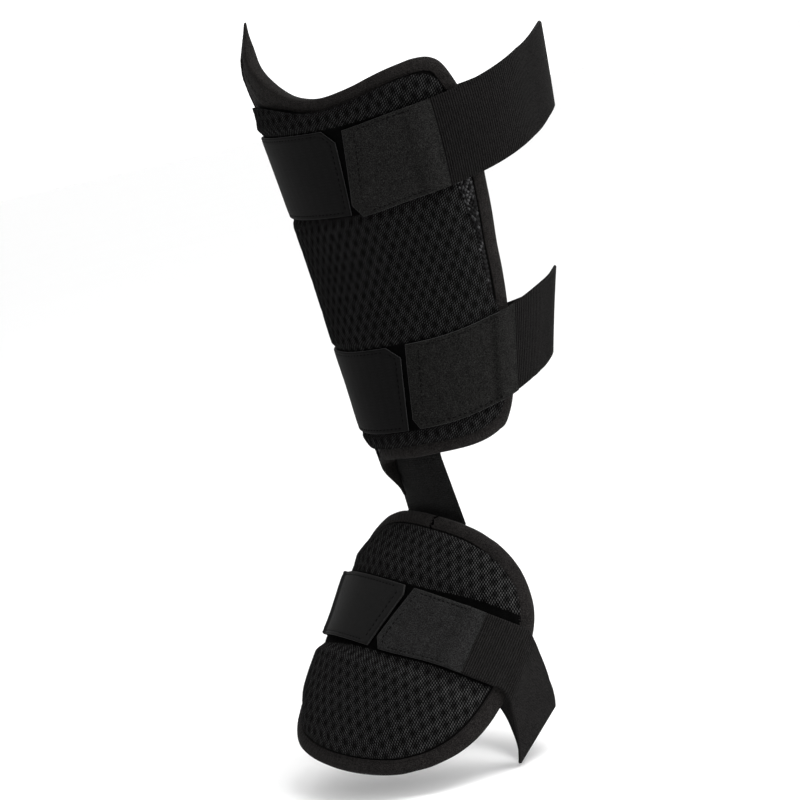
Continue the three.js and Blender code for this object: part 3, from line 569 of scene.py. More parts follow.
def edge_distance(flat, border):
    """Distance of flat points from a closed border, and the nearest border point."""
    step = np.roll(border, -1, axis=0) - border
    size = np.sum(step * step, axis=1)
    away = np.empty(len(flat))
    near = np.empty_like(flat)
    for first in range(0, len(flat), BATCH):
        batch = slice(first, first + BATCH)
        part = flat[batch, None]
        share = np.clip(np.sum((part - border) * step, axis=2) / size, 0, 1)
        place = border + share[..., None] * step
        square = np.sum((part - place) ** 2, axis=2)
        best = np.argmin(square, axis=1)
        rows = np.arange(len(best))
        away[batch] = np.sqrt(square[rows, best])
        near[batch] = place[rows, best]
    return away, near


def inside(flat, border):
    """Whether flat points lie inside a closed border."""
    result = np.zeros(len(flat), dtype=bool)
    for (x0, y0), (x1, y1) in zip(border, np.roll(border, -1, axis=0)):
        if y0 == y1:
            continue
        crosses = (y0 > flat[:, 1]) != (y1 > flat[:, 1])
        reach = x0 + (flat[:, 1] - y0) * (x1 - x0) / (y1 - y0)
        result ^= crosses & (flat[:, 0] < reach)
    return result


def layer_chunk(surface, flatten, outline, counts, factor, insets, low, high):
    """A closed padded layer: rings in from the outline, then a grid, on two sides.

    low and high give the heights from the surface coordinates and the distance from the edge."""
    wide = counts[0] * factor
    tall = counts[1] * factor
    loops = [refine(inset(outline, surface, distance), factor) for distance in insets]
    around = len(loops[0])
    middle = fill(loops[-1], wide, tall)[1:-1, 1:-1].reshape(-1, 2)
    away, _ = edge_distance(flatten(*middle.T), flatten(*loops[0].T))
    places = np.concatenate(loops + [middle]).T
    depth = np.concatenate([np.full(around, float(distance)) for distance in insets] + [away])
    edge = (len(loops) - 1) * around
    ids = np.empty((wide + 1, tall + 1), dtype=int)
    ids[1:-1, 1:-1] = edge + around + np.arange(len(middle)).reshape(wide - 1, tall - 1)
    ids[:, 0] = edge + np.arange(wide + 1)
    ids[wide, :] = edge + wide + np.arange(tall + 1)
    ids[:, tall] = edge + 2 * wide + tall - np.arange(wide + 1)
    ids[0, :] = edge + (2 * wide + 2 * tall - np.arange(tall + 1)) % around
    quads = np.stack([ids[:-1, :-1], ids[1:, :-1], ids[1:, 1:], ids[:-1, 1:]], axis=-1).reshape(-1, 4)
    side = np.concatenate([grid_faces(len(loops), around, wrap_columns=True), quads])
    top = surface(*places, high(*places, depth))
    bottom = surface(*places, low(*places, depth))
    return two_sided(bottom, top, side, np.arange(around), flatten(*places))


def level(height):
    """A height for layer_chunk that is the same all over."""
    return lambda a, b, away: height + 0.0 * away


def hole_share(flat, lean, pitch):
    """How far flat points lie in a six-sided pattern of holes, from 0 to 1."""
    total = 0.0
    for turn, share in HOLE_WAVES:
        way = (lean + turn) * RAD
        away = flat[:, 0] * math.cos(way) + flat[:, 1] * math.sin(way)
        total = total + share * np.cos(2 * math.pi * away / pitch)
    return smooth_step(0.1, 1.0, total)


def mesh_chunk(surface, unflatten, border, high, floor, lean, pitch, hole_lean, hole_pitch):
    """Knit mesh inside a border: small staggered loops, sunk where the holes open.

    high gives the height from the surface coordinates and the distance from the edge."""
    along = np.array([math.cos(lean * RAD), math.sin(lean * RAD)])
    aside = np.array([-along[1], along[0]])
    step = pitch / math.sqrt(3)
    half = pitch / 2

    def lines(way, gap):
        reach = border @ way / gap
        return np.arange(int(reach.min()) - 2, int(reach.max()) + 3)

    row = lines(along, step)
    column = lines(aside, half)
    flat = ((row * step)[:, None, None] * along + (column * half)[:, None] * aside).reshape(-1, 2)
    crest = np.tile(column % 2 == 0, len(row))
    raised = crest & ((row[:, None] + column // 2) % 2 == 0).ravel()
    within = inside(flat, border)
    quads = grid_faces(len(row), len(column))
    quads = quads[within[quads].any(axis=1)]
    used, back = np.unique(quads, return_inverse=True)
    quads = back.reshape(-1, 4)
    flat = flat[used]
    within = within[used]
    away, near = edge_distance(flat, border)
    away[~within] = 0
    flat = np.where(within[:, None], flat, near)
    hole = hole_share(flat, hole_lean, hole_pitch) * smooth_step(0.5, 1.6, away)
    a, b = unflatten(flat)
    top = high(a, b, away)
    depth = np.where(raised[used], 0.0, np.where(crest[used], LOOP_SADDLE, LOOP_GAP)) + HOLE_DEPTH * hole
    depth = np.minimum(depth * smooth_step(0, 0.8, away), np.maximum(top - floor - MESH_CLEAR, 0))
    points = surface(a, b, top - depth)
    return chunk(points, turned_out(points, quads, outward_at(surface, a, b)), flat)


def sampled(at, along, rows):
    """Rows of numbers, read at other lengths along their path."""
    columns = [np.interp(at, along, column) for column in rows.reshape(len(rows), -1).T]
    return np.stack(columns, axis=-1).reshape(*at.shape, *rows.shape[1:])


def stitch_run(path, outward, pitch, length, radius, closed=False, material=1):
    """Thread stitches laid along a path of points."""
    if closed:
        path = np.concatenate([path, path[:1]])
        outward = np.concatenate([outward, outward[:1]])
    along = path_lengths(path)
    count = max(int((along[-1] - length) / pitch), 1)
    starts = 0.5 * (along[-1] - (count - 1) * pitch - length) + pitch * np.arange(count)
    shares, sizes, dips = STITCH_FORM.T
    at = starts[:, None] + shares * length
    centre = sampled(at, along, path)
    out = unit(sampled(at, along, outward))
    side = np.cross(unit(centre[:, -1:] - centre[:, :1]) + 0 * out, out)
    centre = centre + out * (dips * radius)[:, None]
    turns = 2 * math.pi * np.arange(STITCH_SIDES) / STITCH_SIDES
    ring = side[:, :, None] * np.cos(turns)[:, None] + out[:, :, None] * np.sin(turns)[:, None]
    points = (centre[:, :, None] + ring * (sizes * radius)[:, None, None]).reshape(count, -1, 3)
    one = grid_faces(len(shares), STITCH_SIDES, wrap_columns=True)
    one = turned_out(points[0] - points[0].mean(axis=0), one)
    faces = (one + points.shape[1] * np.arange(count)[:, None, None]).reshape(-1, 4)
    flat = np.stack(np.broadcast_arrays(at[:, :, None], radius * turns), axis=-1)
    return chunk(points.reshape(-1, 3), faces, flat.reshape(-1, 2), material)


def binding_chunk(surface, outline, factor, low, high, notch=None, shaped=lambda a, b, over: over, wider=0.0):
    """Knit cloth folded round an edge, rounded outside, drawn in along its seam.

    notch is the place of a butt join, shaped changes the heights over the surface, and wider is the
    extra width of the outer side at each point of the outline."""
    bottom = low - BINDING_SLACK - BINDING_WALL
    top = high + BINDING_SLACK + BINDING_WALL
    middle = 0.5 * (low + high)
    wide = BINDING_WIDTH
    section = (
        (wide, bottom + 0.25), (wide - 0.5, bottom), (wide - BINDING_SEAM, bottom + 0.2),
        (wide - 2.4, bottom), (BINDING_ROUND, bottom - 0.05), (1.1, bottom + 0.25), (0.35, bottom + 0.9),
        (0, bottom + 1.9),
        (0, top - 1.9), (0.35, top - 0.9), (1.1, top - 0.25), (BINDING_ROUND, top + 0.1),
        (BINDING_CREST, top + 0.15), (wide - 2.4, top + 0.05), (wide - BINDING_SEAM, top - 0.22),
        (wide - 0.6, top - 0.02), (wide, top - 0.3),
        (wide, top - BINDING_WALL), (BINDING_FLOOR, top - BINDING_WALL),
        (BINDING_FLOOR, bottom + BINDING_WALL), (wide, bottom + BINDING_WALL),
    )
    loops = {}
    for distance, over in section:
        share = max(distance - BINDING_CREST, 0) / (wide - BINDING_CREST) if over > middle else 0
        loops[distance, over > middle] = refine(inset(outline, surface, distance + share * wider), factor)
    centre = surface(*loops[BINDING_ROUND, True].T, top)
    length = path_lengths(np.concatenate([centre, centre[:1]]))[:-1]
    turns = 2 * math.pi * length
    pucker = sum(deep * np.sin(turns / pitch + shift) for deep, pitch, shift in PUCKERS)
    rings = []
    flats = []
    gaps = []
    travelled = 0.0
    previous = section[0]
    for distance, over in section:
        loop = loops[distance, over > middle].T
        height = np.full(len(length), over)
        travelled += math.dist(previous, (distance, over))
        previous = (distance, over)
        if distance > 2 and (over > top - 1.0 or over < bottom + 1.0):
            height = height + pucker * (1 if over > middle else -1)
        if notch is not None:
            meeting = length[np.argmin(np.linalg.norm(centre - notch, axis=1))]
            gap = np.abs(length - meeting - JOIN_JAG * math.sin(1.7 * distance + 0.4))
            gaps.append(gap)
            if over > top - 1.0:
                height = height - JOIN_DEPTH * bell(gap, 0.6) + JOIN_SWELL * bell(gap - 1.8, 1.0)
        rings.append(surface(*loop, shaped(*loop, height)))
        flats.append(np.stack([length, np.full(len(length), travelled)], axis=-1))
    points = np.stack(rings, axis=1)
    faces = grid_faces(*points.shape[:2], wrap_rows=True, wrap_columns=True)
    points = points.reshape(-1, 3)
    material = np.zeros(len(faces), dtype=int)
    if notch is not None:
        material[np.stack(gaps, axis=1).ravel()[faces].mean(axis=1) < 0.8] = 2
    flat = np.stack(flats, axis=1).reshape(-1, 2)
    seam = loops[wide - BINDING_SEAM, True].T
    seam_points = surface(*seam, shaped(*seam, np.full(len(length), top - 0.16)))
    stitches = stitch_run(seam_points, outward_at(surface, *seam), *BINDING_STITCH, closed=True)
    return [chunk(points, turned_out(points, faces), flat, material), stitches]


def graded(size, edge, first, count):
    """Places from 0 to a size, close together at both ends."""
    edge = np.array(edge)
    return np.concatenate([edge, np.linspace(first, size - first, count), size - edge[::-1]])


def band_chunk(low, high, along, across):
    """A closed band from rows of points on its lower and upper side, with both ends capped."""
    points = np.concatenate([low, high[:, ::-1]], axis=1)
    count, size = points.shape[:2]
    j = np.arange(size // 2 - 1)
    cap = np.stack([j, size - 1 - j, size - 2 - j, j + 1], axis=-1)
    faces = grid_faces(count, size, wrap_columns=True)
    faces = np.concatenate([faces, cap, cap[:, ::-1] + (count - 1) * size])
    ring = np.concatenate([across, across[::-1]])
    flat = np.stack(np.broadcast_arrays(along[:, None], ring), axis=-1)
    points = points.reshape(-1, 3)
    return chunk(points, turned_out(points, faces), flat.reshape(-1, 2))


def ribbon_chunk(rings, width):
    """A ribbed band and its length, from rings of three points below and three above."""
    lengths = path_lengths(0.5 * (rings[:, 1] + rings[:, 4]))
    at = np.linspace(0, lengths[-1], int(lengths[-1] / RIB_STEP) + 1)
    across = graded(width, (0, 0.25, 0.7, 1.4), 2.2, 9)
    v = across / width
    weights = np.stack([(1 - v) * (1 - 2 * v), 4 * v * (1 - v), v * (2 * v - 1)], axis=-1)
    low = np.einsum("vk,nkx->nvx", weights, sampled(at, lengths, rings[:, :3]))
    high = np.einsum("vk,nkx->nvx", weights, sampled(at, lengths, rings[:, 3:]))
    normal = unit(high - low)
    edge = np.minimum(across, width - across)
    edge_round = 0.55 * step_down(0, 0.7, edge)
    bead = 0.1 * bell(edge - 0.9, 0.5)
    rib = RIB_DEPTH * np.cos(2 * math.pi * at / RIB_PITCH)[:, None] * smooth_step(0.5, 1.8, edge)
    high = high + normal * (rib - edge_round + bead)[..., None]
    low = low + normal * (edge_round - 0.6 * rib)[..., None]
    return band_chunk(low, high, at, across), float(lengths[-1])


def tab_chunks(row, width, low, thick, scale, band_at, seam_end, butted):
    """A cloth tab: bevelled sheet with a cut corner, a stitched groove and thread.

    A butted tab ends where the elastic begins, and the others lap over it."""
    end_one, end_two, sewn, lap, cut_side, cut_across, cut_along = row
    reach = sewn - 0.5 * (end_one + end_two)
    toward = math.copysign(1, reach)
    span = abs(reach) * scale
    v = graded(width, TAB_EDGE, 2.1, int(width / TAB_STEP)) / width
    f = graded(span, TAB_EDGE, 2.1, int(span / TAB_STEP)) / span

    def free_end(v):
        corner = v - (1 - cut_across / width) if cut_side > 0 else cut_across / width - v
        cut = np.maximum(corner * width / cut_across, 0)
        return end_one + (end_two - end_one) * v + toward * cut_along * cut

    def place(f, v, over):
        free = free_end(v)
        angle = free + (sewn - free) * f
        past = (angle - sewn) * -toward
        lift = 0.0 if butted else LAP_LIFT * step_down(lap, lap + 5, past)
        return band_at(angle, v - 0.5, over + lift)

    grid_f, grid_v = np.meshgrid(f, v, indexing="ij")
    run = np.abs(sewn - free_end(grid_v)) * scale
    from_end = grid_f * run
    from_sewn = (1 - grid_f) * run
    from_side = np.minimum(grid_v, 1 - grid_v) * width
    border = np.minimum(np.minimum(from_end, from_sewn), from_side)
    bevel = BEVEL * step_down(0, 0.95, np.minimum(from_end, from_side)) ** 2
    if not butted:
        bevel = bevel * smooth_step(0, 7, from_sewn) + 1.3 * step_down(0, 8, from_sewn)
    side_seam = np.where(from_end > seam_end - 0.4, np.abs(from_side - SEAM_SIDE), FAR)
    end_seam = np.where(from_side > SEAM_SIDE - 0.4, np.abs(from_end - seam_end), FAR)
    groove = GROOVE_DEPTH * bell(np.minimum(side_seam, end_seam), 0.5) * smooth_step(2, 9, from_sewn)
    sway = SWAY * np.sin(from_end / 9.1 + 0.7) * np.sin(grid_v * width / 7.3 + 1.1)
    sway = sway * smooth_step(1, 6, border)
    top = place(grid_f, grid_v, low + thick - bevel - groove + sway - 0.05)
    bottom = place(grid_f, grid_v, low + 0.35 * step_down(0, 0.6, border))
    ids = np.arange(grid_f.size).reshape(grid_f.shape)
    rim = np.concatenate([ids[0, :-1], ids[:-1, -1], ids[-1, :0:-1], ids[:0:-1, 0]])
    flat = np.stack([from_sewn, grid_v * width], axis=-1).reshape(-1, 2)
    sheet = two_sided(bottom.reshape(-1, 3), top.reshape(-1, 3), grid_faces(*ids.shape), rim, flat)
    # Painted highlight: faces within 0.3 mm of the free end and sides, only the upper side on a butted tab,
    # take the lighter rim cloth.
    rim_highlight = np.minimum(from_end, (1 - grid_v) * width if butted else from_side)
    rim_highlight = np.tile(np.where(from_sewn < 9, FAR, rim_highlight).ravel(), 2)
    sheet["material"] = np.where(rim_highlight[sheet["faces"]].mean(axis=1) < 0.3, 1, 0)
    parts = [sheet]
    lines = []
    share = np.linspace(0, 1, 240)
    inner = SEAM_SIDE / width
    for side in (inner, 1 - inner):
        size = abs(sewn - free_end(side)) * scale
        lines.append((seam_end / size + (1 - (seam_end + 9) / size) * share, side + 0 * share))
    cross = inner + (1 - 2 * inner) * share
    lines.append((seam_end / (np.abs(sewn - free_end(cross)) * scale), cross))
    for line_f, line_v in lines:
        path = place(line_f, line_v, low + thick - 0.24)
        outward = place(line_f, line_v, low + thick + 1) - place(line_f, line_v, low + thick)
        parts.append(stitch_run(path, outward, *TAB_STITCH, material=2))
    return parts


class Value:
    """A node's output that takes plain arithmetic."""

    def __init__(self, nodes, socket):
        self.nodes = nodes
        self.socket = socket

    def __add__(self, other):
        return self.nodes.math("ADD", self, other)

    def __sub__(self, other):
        return self.nodes.math("SUBTRACT", self, other)

    def __rsub__(self, other):
        return self.nodes.math("SUBTRACT", other, self)

    def __mul__(self, other):
        return self.nodes.math("MULTIPLY", self, other)


class Nodes:
    """Short calls for building the node tree of a material or a world."""

    def __init__(self, owner, shader):
        owner.use_nodes = True
        self.tree = owner.node_tree
        self.shader = self.tree.nodes[shader]

    def join(self, value, socket):
        if isinstance(value, Value):
            self.tree.links.new(value.socket, socket)
        else:
            socket.default_value = value

    def add(self, kind, output, inputs=(), **settings):
        """A new node with its settings and inputs, as the value of one output."""
        node = self.tree.nodes.new(kind)
        for key, setting in settings.items():
            setattr(node, key, setting)
        for key, value in dict(inputs).items():
            self.join(value, node.inputs[key])
        return Value(self, node.outputs[output])

    def put(self, values):
        """Sets or links the shader's own sockets."""
        for key, value in values.items():
            self.join(value, self.shader.inputs[key])

    def math(self, operation, *operands, clamp=False):
        return self.add("ShaderNodeMath", 0, enumerate(operands), operation=operation, use_clamp=clamp)

    def flat(self):
        """The flat coordinates along and across, in millimetres."""
        place = self.add("ShaderNodeUVMap", "UV", uv_map="flat")
        return [self.add("ShaderNodeSeparateXYZ", k, {0: place}) for k in (0, 1)]

    def noise(self, scale, detail):
        """Even noise in space, with features of about 1 / scale metres."""
        place = self.add("ShaderNodeTexCoord", "Object")
        return self.add("ShaderNodeTexNoise", "Fac", {"Vector": place, "Scale": scale, "Detail": detail})

    def turned(self, angle):
        """The flat distance along a direction given in degrees."""
        along, across = self.flat()
        return along * math.cos(angle * RAD) + across * math.sin(angle * RAD)

    def cosine(self, value, pitch):
        """A wave from -1 to 1 with a pitch in millimetres."""
        return self.math("COSINE", value * (2 * math.pi / pitch))

    def wave(self, value, pitch, offset=0.0):
        """A smooth wave from 0 to 1 with a pitch in millimetres."""
        return self.math("SINE", self.math("MULTIPLY_ADD", value, 2 * math.pi / pitch, offset)) * 0.5 + 0.5

    def specks(self, amount):
        """Small specks of about a thread's size, centred on 0."""
        return (self.noise(2200.0, 1.0) - 0.5) * (3.0 * amount)

    def ramp(self, value, start, stop, low, high):
        """A value that runs from low to high between two places."""
        names = ("Value", "From Min", "From Max", "To Min", "To Max")
        return self.add("ShaderNodeMapRange", 0, zip(names, (value, start, stop, low, high)))

    def mixed(self, factor, dark, light):
        return self.add("ShaderNodeMix", 2, {0: factor, 6: (*dark, 1), 7: (*light, 1)}, data_type="RGBA")

    def finish(self, tone, dark, light, grain, rough, relief, depth, specular):
        """Sets the shader: colour by tone, roughness by grain, relief with a depth in millimetres."""
        bump = {"Strength": 1.0, "Distance": depth * MM, "Height": relief}
        self.put({
            "Base Color": self.mixed(tone, dark, light),
            "Roughness": self.ramp(grain, 0, 1, *rough),
            "Normal": self.add("ShaderNodeBump", 0, bump),
            "Specular IOR Level": specular,
        })

    def cloth(self, sheen):
        self.put({"Sheen Weight": sheen, "Sheen Roughness": SHEEN_ROUGH})


looks = {}


def new_look(name):
    looks[name] = bpy.data.materials.new(name)
    return Nodes(looks[name], "Principled BSDF")


def add_weave(name, dark, light, along_pitch, across_pitch, depth, sheen, specular, speckle,
              rough=CLOTH_ROUGH):
    """Woven cloth: two sets of threads, specks of lighter fibre, soft sheen."""
    nodes = new_look(name)
    along, across = nodes.flat()
    threads = nodes.wave(along, along_pitch) * nodes.wave(across, across_pitch)
    mottle = nodes.noise(260.0, 4.0)
    tone = threads * 0.35 + mottle * 0.5 + nodes.specks(speckle)
    relief = threads + nodes.noise(3200.0, 2.0) * 0.7
    nodes.finish(tone, dark, light, mottle, rough, relief, depth, specular)
    nodes.cloth(sheen)


def add_elastic_look(name, dark, light, fade):
    """Ribbed elastic: dark between the ribs, plainer beyond a fade given along it."""
    nodes = new_look(name)
    along, across = nodes.flat()
    rib = nodes.wave(along, RIB_PITCH, math.pi / 2)
    mottle = nodes.noise(200.0, 4.0)
    tone = (rib - 0.5) * nodes.ramp(along, *fade, 0.75, 0.12) + nodes.specks(1.0) + mottle * 0.3 + 0.28
    relief = rib * 2.0 + nodes.wave(across, 0.8)
    nodes.finish(tone, dark, light, mottle, CLOTH_ROUGH, relief, 0.06, 0.03)
    nodes.cloth(0.015)


def add_mesh_look(name, dark, light, lean, pitch, hole_lean, hole_pitch):
    """Open mesh: light loops in a staggered pattern, dark between them and in the holes."""
    nodes = new_look(name)
    step = pitch / math.sqrt(3)
    loops = nodes.cosine(nodes.turned(lean + 90), 2 * pitch) * nodes.cosine(nodes.turned(lean), 2 * step)
    closed = 0.74
    for turn, share in HOLE_WAVES:
        closed = closed - nodes.cosine(nodes.turned(hole_lean + turn), hole_pitch) * (0.5 * share)
    mottle = nodes.noise(180.0, 4.0)
    tone = nodes.math("ADD", loops * 0.8 + nodes.specks(0.6), mottle * 0.3, clamp=True)
    relief = loops + nodes.noise(2600.0, 3.0) * 0.6
    nodes.finish(tone * closed, dark, light, mottle, (0.8, 0.97), relief, 0.08, 0.01)
    nodes.cloth(0.0)


def add_knit(name, dark, light, depth, sheen):
    """Fine knit: short slanted loops in columns."""
    nodes = new_look(name)
    along, across = nodes.flat()
    loops = nodes.wave(along + nodes.math("PINGPONG", across, 0.35) * 0.9, 0.55)
    mottle = nodes.noise(220.0, 4.0)
    tone = loops * 0.3 + mottle * 0.6 + nodes.specks(0.9)
    relief = loops * nodes.wave(across, 0.7) + nodes.noise(3000.0, 2.0) * 0.6
    nodes.finish(tone, dark, light, mottle, (0.78, 0.95), relief, depth, 0.04)
    nodes.cloth(sheen)


def add_shell_look(name, dark, light, specular):
    """Glossy moulded shell with a small diamond relief."""
    nodes = new_look(name)
    along, across = nodes.flat()
    scuffs = nodes.noise(900.0, 5.0)
    relief = nodes.wave(along + across, 2.6) * nodes.wave(along - across, 2.6) + scuffs * 0.1
    nodes.finish(scuffs, dark, light, scuffs, (0.16, 0.34), relief, 0.35, specular)


for weave_name, weave_row in WEAVES.items():
    add_weave(weave_name, *weave_row)
add_mesh_look("mesh_shin", (0.0008, 0.0008, 0.0008), (0.034, 0.034, 0.0342), *SHIN_MESH)
# The foot's mesh is a lighter copy of the shin's, painted light on the upward-facing foot.
add_mesh_look("mesh_foot_lit", (0.001, 0.001, 0.001), (0.052, 0.0517, 0.0517), *FOOT_MESH)
add_knit("knit_binding", (0.0028, 0.0026, 0.0025), (0.0205, 0.0188, 0.0181), 0.07, 0.02)
# A darker copy of the binding knit, painted shade at the ankle lobe.
add_knit("knit_shaded", (0.0016, 0.0015, 0.0014), (0.0095, 0.0087, 0.0083), 0.07, 0.01)
add_elastic_look("elastic_webbing", (0.0014, 0.0013, 0.0013), (0.0105, 0.01, 0.0098), (900, 901))
# A lighter copy of the elastic for the foot strap, painted light; its ribs also fade along it.
add_elastic_look("elastic_foot_lit", (0.0024, 0.0023, 0.0023), (0.0158, 0.015, 0.0147), (36, 46))
add_shell_look("shell_gloss", (0.001, 0.001, 0.001), (0.003, 0.003, 0.0031), 0.06)
# A lighter copy of the shell, painted glints on the vent's lozenges.
add_shell_look("shell_glint", (0.01, 0.01, 0.0105), (0.03, 0.03, 0.031), 0.16)


def add_piece(name, chunks, look_names, nodes):
    piece = make_object(name, chunks, [looks[look] for look in look_names])
    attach(piece, "root")
    if nodes:
        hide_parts(*nodes)


def foot_runs():
    """The foot outline, both halves, from the left of the top round by the right."""
    rows = np.array(FOOT_OUTLINE, float)
    right = rows[FOOT_TOP_CORNER:FOOT_TOE_CORNER + 1]
    top_half = rows[:FOOT_TOP_CORNER + 1]
    toe_half = rows[FOOT_TOE_CORNER:]
    top = np.concatenate([top_half[:0:-1] * MIRROR, top_half])
    toe = np.concatenate([toe_half, toe_half[-2::-1] * MIRROR])
    return top, right, toe, right[::-1] * MIRROR


shin_outline = closed_outline(SHIN_RUNS, SHIN_COUNTS, SHIN_SCALE)
shell_outline = closed_outline(SHELL_RUNS, SHELL_COUNTS, SHIN_SCALE)
cover_outline = closed_outline(COVER_RUNS, COVER_COUNTS, SHIN_SCALE)
foot_outline = closed_outline(foot_runs(), FOOT_COUNTS, FOOT_SCALE)


def past_straps(angle, height):
    """Distance up or down from the nearer shin strap's edge, below 0 under the strap."""
    upper = np.abs(height - loop_height(UPPER_HEIGHTS, angle)) - UPPER_WIDTH / 2
    lower = np.abs(height - loop_height(LOWER_HEIGHTS, angle)) - LOWER_WIDTH / 2
    return np.minimum(upper, lower)


def cover_top(angle, height, away):
    """The cover's height: pressed in by the straps, its edge rounded down to the seam."""
    pressed = step_down(-0.5, 6, past_straps(angle, height))
    high = COVER_HIGH + (COVER_UNDER_STRAP - COVER_HIGH) * pressed
    edge = COVER_EDGE_HIGH + (COVER_SHOULDER - COVER_EDGE_HIGH) * smooth_step(0, 3, away)
    whole = np.minimum(high, edge + 1.5 * smooth_step(3, 12, away))
    corner = smooth_step(188, 204, height) * step_down(-58, -32, angle)
    return whole + (COVER_CORNER - whole) * corner


def tip_shaped(angle, height, over):
    """Heights over the shin, drawn together towards the tip of the wing and the lobe's lower end."""
    swell = WING_SWELL * window(193, 202, 214, 234, height) * step_down(-42, -24, angle)
    shaped = WING_MIDDLE + swell + (over - WING_MIDDLE) * (1 - 0.78 * smooth_step(224, 246, height))
    return LOBE_MIDDLE + (shaped - LOBE_MIDDLE) * (1 - 0.76 * step_down(-15, -1, height))


def liner_low(angle, height, away):
    """The foam's inner face: thin at the edge and where the link strap is sewn on."""
    swell = smooth_step(5.5, 16, away)
    pressed = window(-64, -58, 14, 22, angle) * step_down(15, 24, height)
    over = LINER_EDGE_LOW + (LINER_LOW - LINER_EDGE_LOW) * swell * (1 - 0.6 * pressed)
    return tip_shaped(angle, height, over)


# Shin liner: foam with a thin sewn edge, swelling inward to the leg. Its bare corner is knit.
liner = layer_chunk(
    shin_at, shin_flat, inset(shin_outline, shin_at, LINER_INSET), SHIN_COUNTS, 4, (0, 3, 6.2),
    liner_low, lambda a, b, away: tip_shaped(a, b, LINER_HIGH + 0.0 * away),
)
liner_angle, liner_height = shin_unflat(face_middles(liner, "flat"))
liner_middle = shin_at(liner_angle, liner_height, tip_shaped(liner_angle, liner_height, -8.0))
liner_over = dot(face_middles(liner, "points") - liner_middle, outward_at(shin_at, liner_angle, liner_height))
bare_corner = (liner_over > 0) & (liner_angle < -30) & (liner_height > 192)
liner["material"] = np.where(bare_corner, 1, 0)
add_piece("shin_liner_pad", [liner], ["brushed_liner", "knit_binding"], ["shin_liner"])

# The cloth of the cover runs to the bound edge, but not at the vent.
at_vent = smooth_step(36, 41, cover_outline[:, :1]) * window(66, 84, 183, 189, cover_outline[:, 1:])
cover_outline = inset(cover_outline, shin_at, -2.3 * (1 - at_vent))
cover_border = shin_flat(*refine(cover_outline, 8).T)


def vent_chunk():
    """Raised lozenges on the shell where the cover leaves it bare, some in a lighter copy as painted glints.
    """
    shell_border = shin_flat(*refine(shell_outline, 8).T)
    step_x, step_y = VENT_STEP
    low_x, low_y = shell_border.min(axis=0)
    high_x, high_y = shell_border.max(axis=0)
    rows = np.arange(int((high_y - low_y) / step_y))[:, None]
    columns = np.arange(int((high_x - low_x) / step_x))
    places = [low_x + (columns + 0.5 * (rows % 2)) * step_x, low_y + rows * step_y + 0 * columns]
    centres = np.stack(places, axis=-1).reshape(-1, 2)
    x, y = centres.T
    mixed = ((columns * 7 + rows * 5 + columns * rows * 3) % 11).ravel()
    away, _ = edge_distance(centres, shell_border)
    beside, _ = edge_distance(centres, cover_border)
    # Painted glints: some lozenges take the lighter glossy copy, more of them higher up and in a strip beside
    # the cover's edge.
    painted_glints = (mixed < 2 + 4 * (y > 128)) | ((beside < 2.2) & (y > 146))
    keep = inside(centres, shell_border) & ~inside(centres, cover_border) & (away > 0.9)
    keep &= (x > 20) & (y > 84) & (y < 176)
    centres = centres[keep]
    flat = (centres[:, None] + LOZENGE[:, :2]).reshape(-1, 2)
    a, b = shin_unflat(flat)
    points = shin_at(a, b, SHELL_HIGH - 0.04 + np.tile(LOZENGE[:, 2], len(centres)))
    faces = (LOZENGE_FACES + len(LOZENGE) * np.arange(len(centres))[:, None, None]).reshape(-1, 4)
    material = np.where(np.repeat(painted_glints[keep], len(LOZENGE_FACES)), 1, 0)
    return chunk(points, turned_out(points, faces, outward_at(shin_at, a, b)), flat, material)


drawn_in = 1.8 * step_down(30, 42, shell_outline[:, :1])
shell = layer_chunk(
    shin_at, shin_flat, inset(shell_outline, shin_at, drawn_in), SHELL_COUNTS, 6, (0, 0.5, 1.4, 3),
    level(SHELL_LOW), lambda a, b, away: SHELL_HIGH - 0.5 * step_down(0, 1.4, away),
)
shell_parts = [shell, vent_chunk()]
add_piece("shin_shell_plate", shell_parts, ["shell_gloss", "shell_glint"], ["shin_shell"])

# Mesh cover: a dark base and the open mesh over it, with painted shade between the tabs' ends.
cover_base = layer_chunk(
    shin_at, shin_flat, cover_outline, COVER_COUNTS, 3, (0, 1, 3), level(COVER_LOW),
    lambda a, b, away: np.maximum(cover_top(a, b, away) - 1.2 * smooth_step(0, 1.5, away), COVER_LOW + 0.2),
)
add_piece("shin_cover_base", [cover_base], ["mesh_base"], ["shin_cover"])
cover_mesh = mesh_chunk(shin_at, shin_unflat, cover_border, cover_top, COVER_LOW, *SHIN_MESH)
mesh_angle, mesh_height = shin_unflat(face_middles(cover_mesh, "flat"))
# Painted shade: mesh faces in the slit between the tabs' ends take the near-black mesh.
tab_gap_shade = (past_straps(mesh_angle, mesh_height) < 0.6) & (np.abs(mesh_angle) < 20)
cover_mesh["material"] = np.where(tab_gap_shade, 1, 0)
add_piece("shin_cover_mesh", [cover_mesh], ["mesh_shin", "mesh_painted_shade"], [])

# The binding is wide below the horn; at the ankle lobe it takes a darker copy of the knit, painted shade.
horn_side = window(-64, -50, -34, -20, shin_outline[:, :1]) * window(190, 200, 216, 230, shin_outline[:, 1:])
shin_fold = binding_chunk(
    shin_at, shin_outline, 12, LINER_EDGE_LOW, LINER_HIGH, shaped=tip_shaped, wider=HORN_WIDER * horn_side,
)
lobe = face_middles(shin_fold[0], "points")[:, 2] < 2.2
shin_fold[0]["material"] = np.where(lobe, 2, 0)
add_piece("shin_edge_binding", shin_fold, BINDING_LOOKS + ["knit_shaded"], ["shin_binding"])

strap_lengths = {}


def add_elastic(name, node, rings, width, look):
    part, strap_lengths[node] = ribbon_chunk(rings, width)
    add_piece(name, [part], [look], [node])


def band_rings(band, angles, low):
    """Rings round a band: three points below and three above."""
    sides = (low, low + STRAP_THICK)
    return np.stack([band(angles, v, over) for over in sides for v in ACROSS], axis=1)


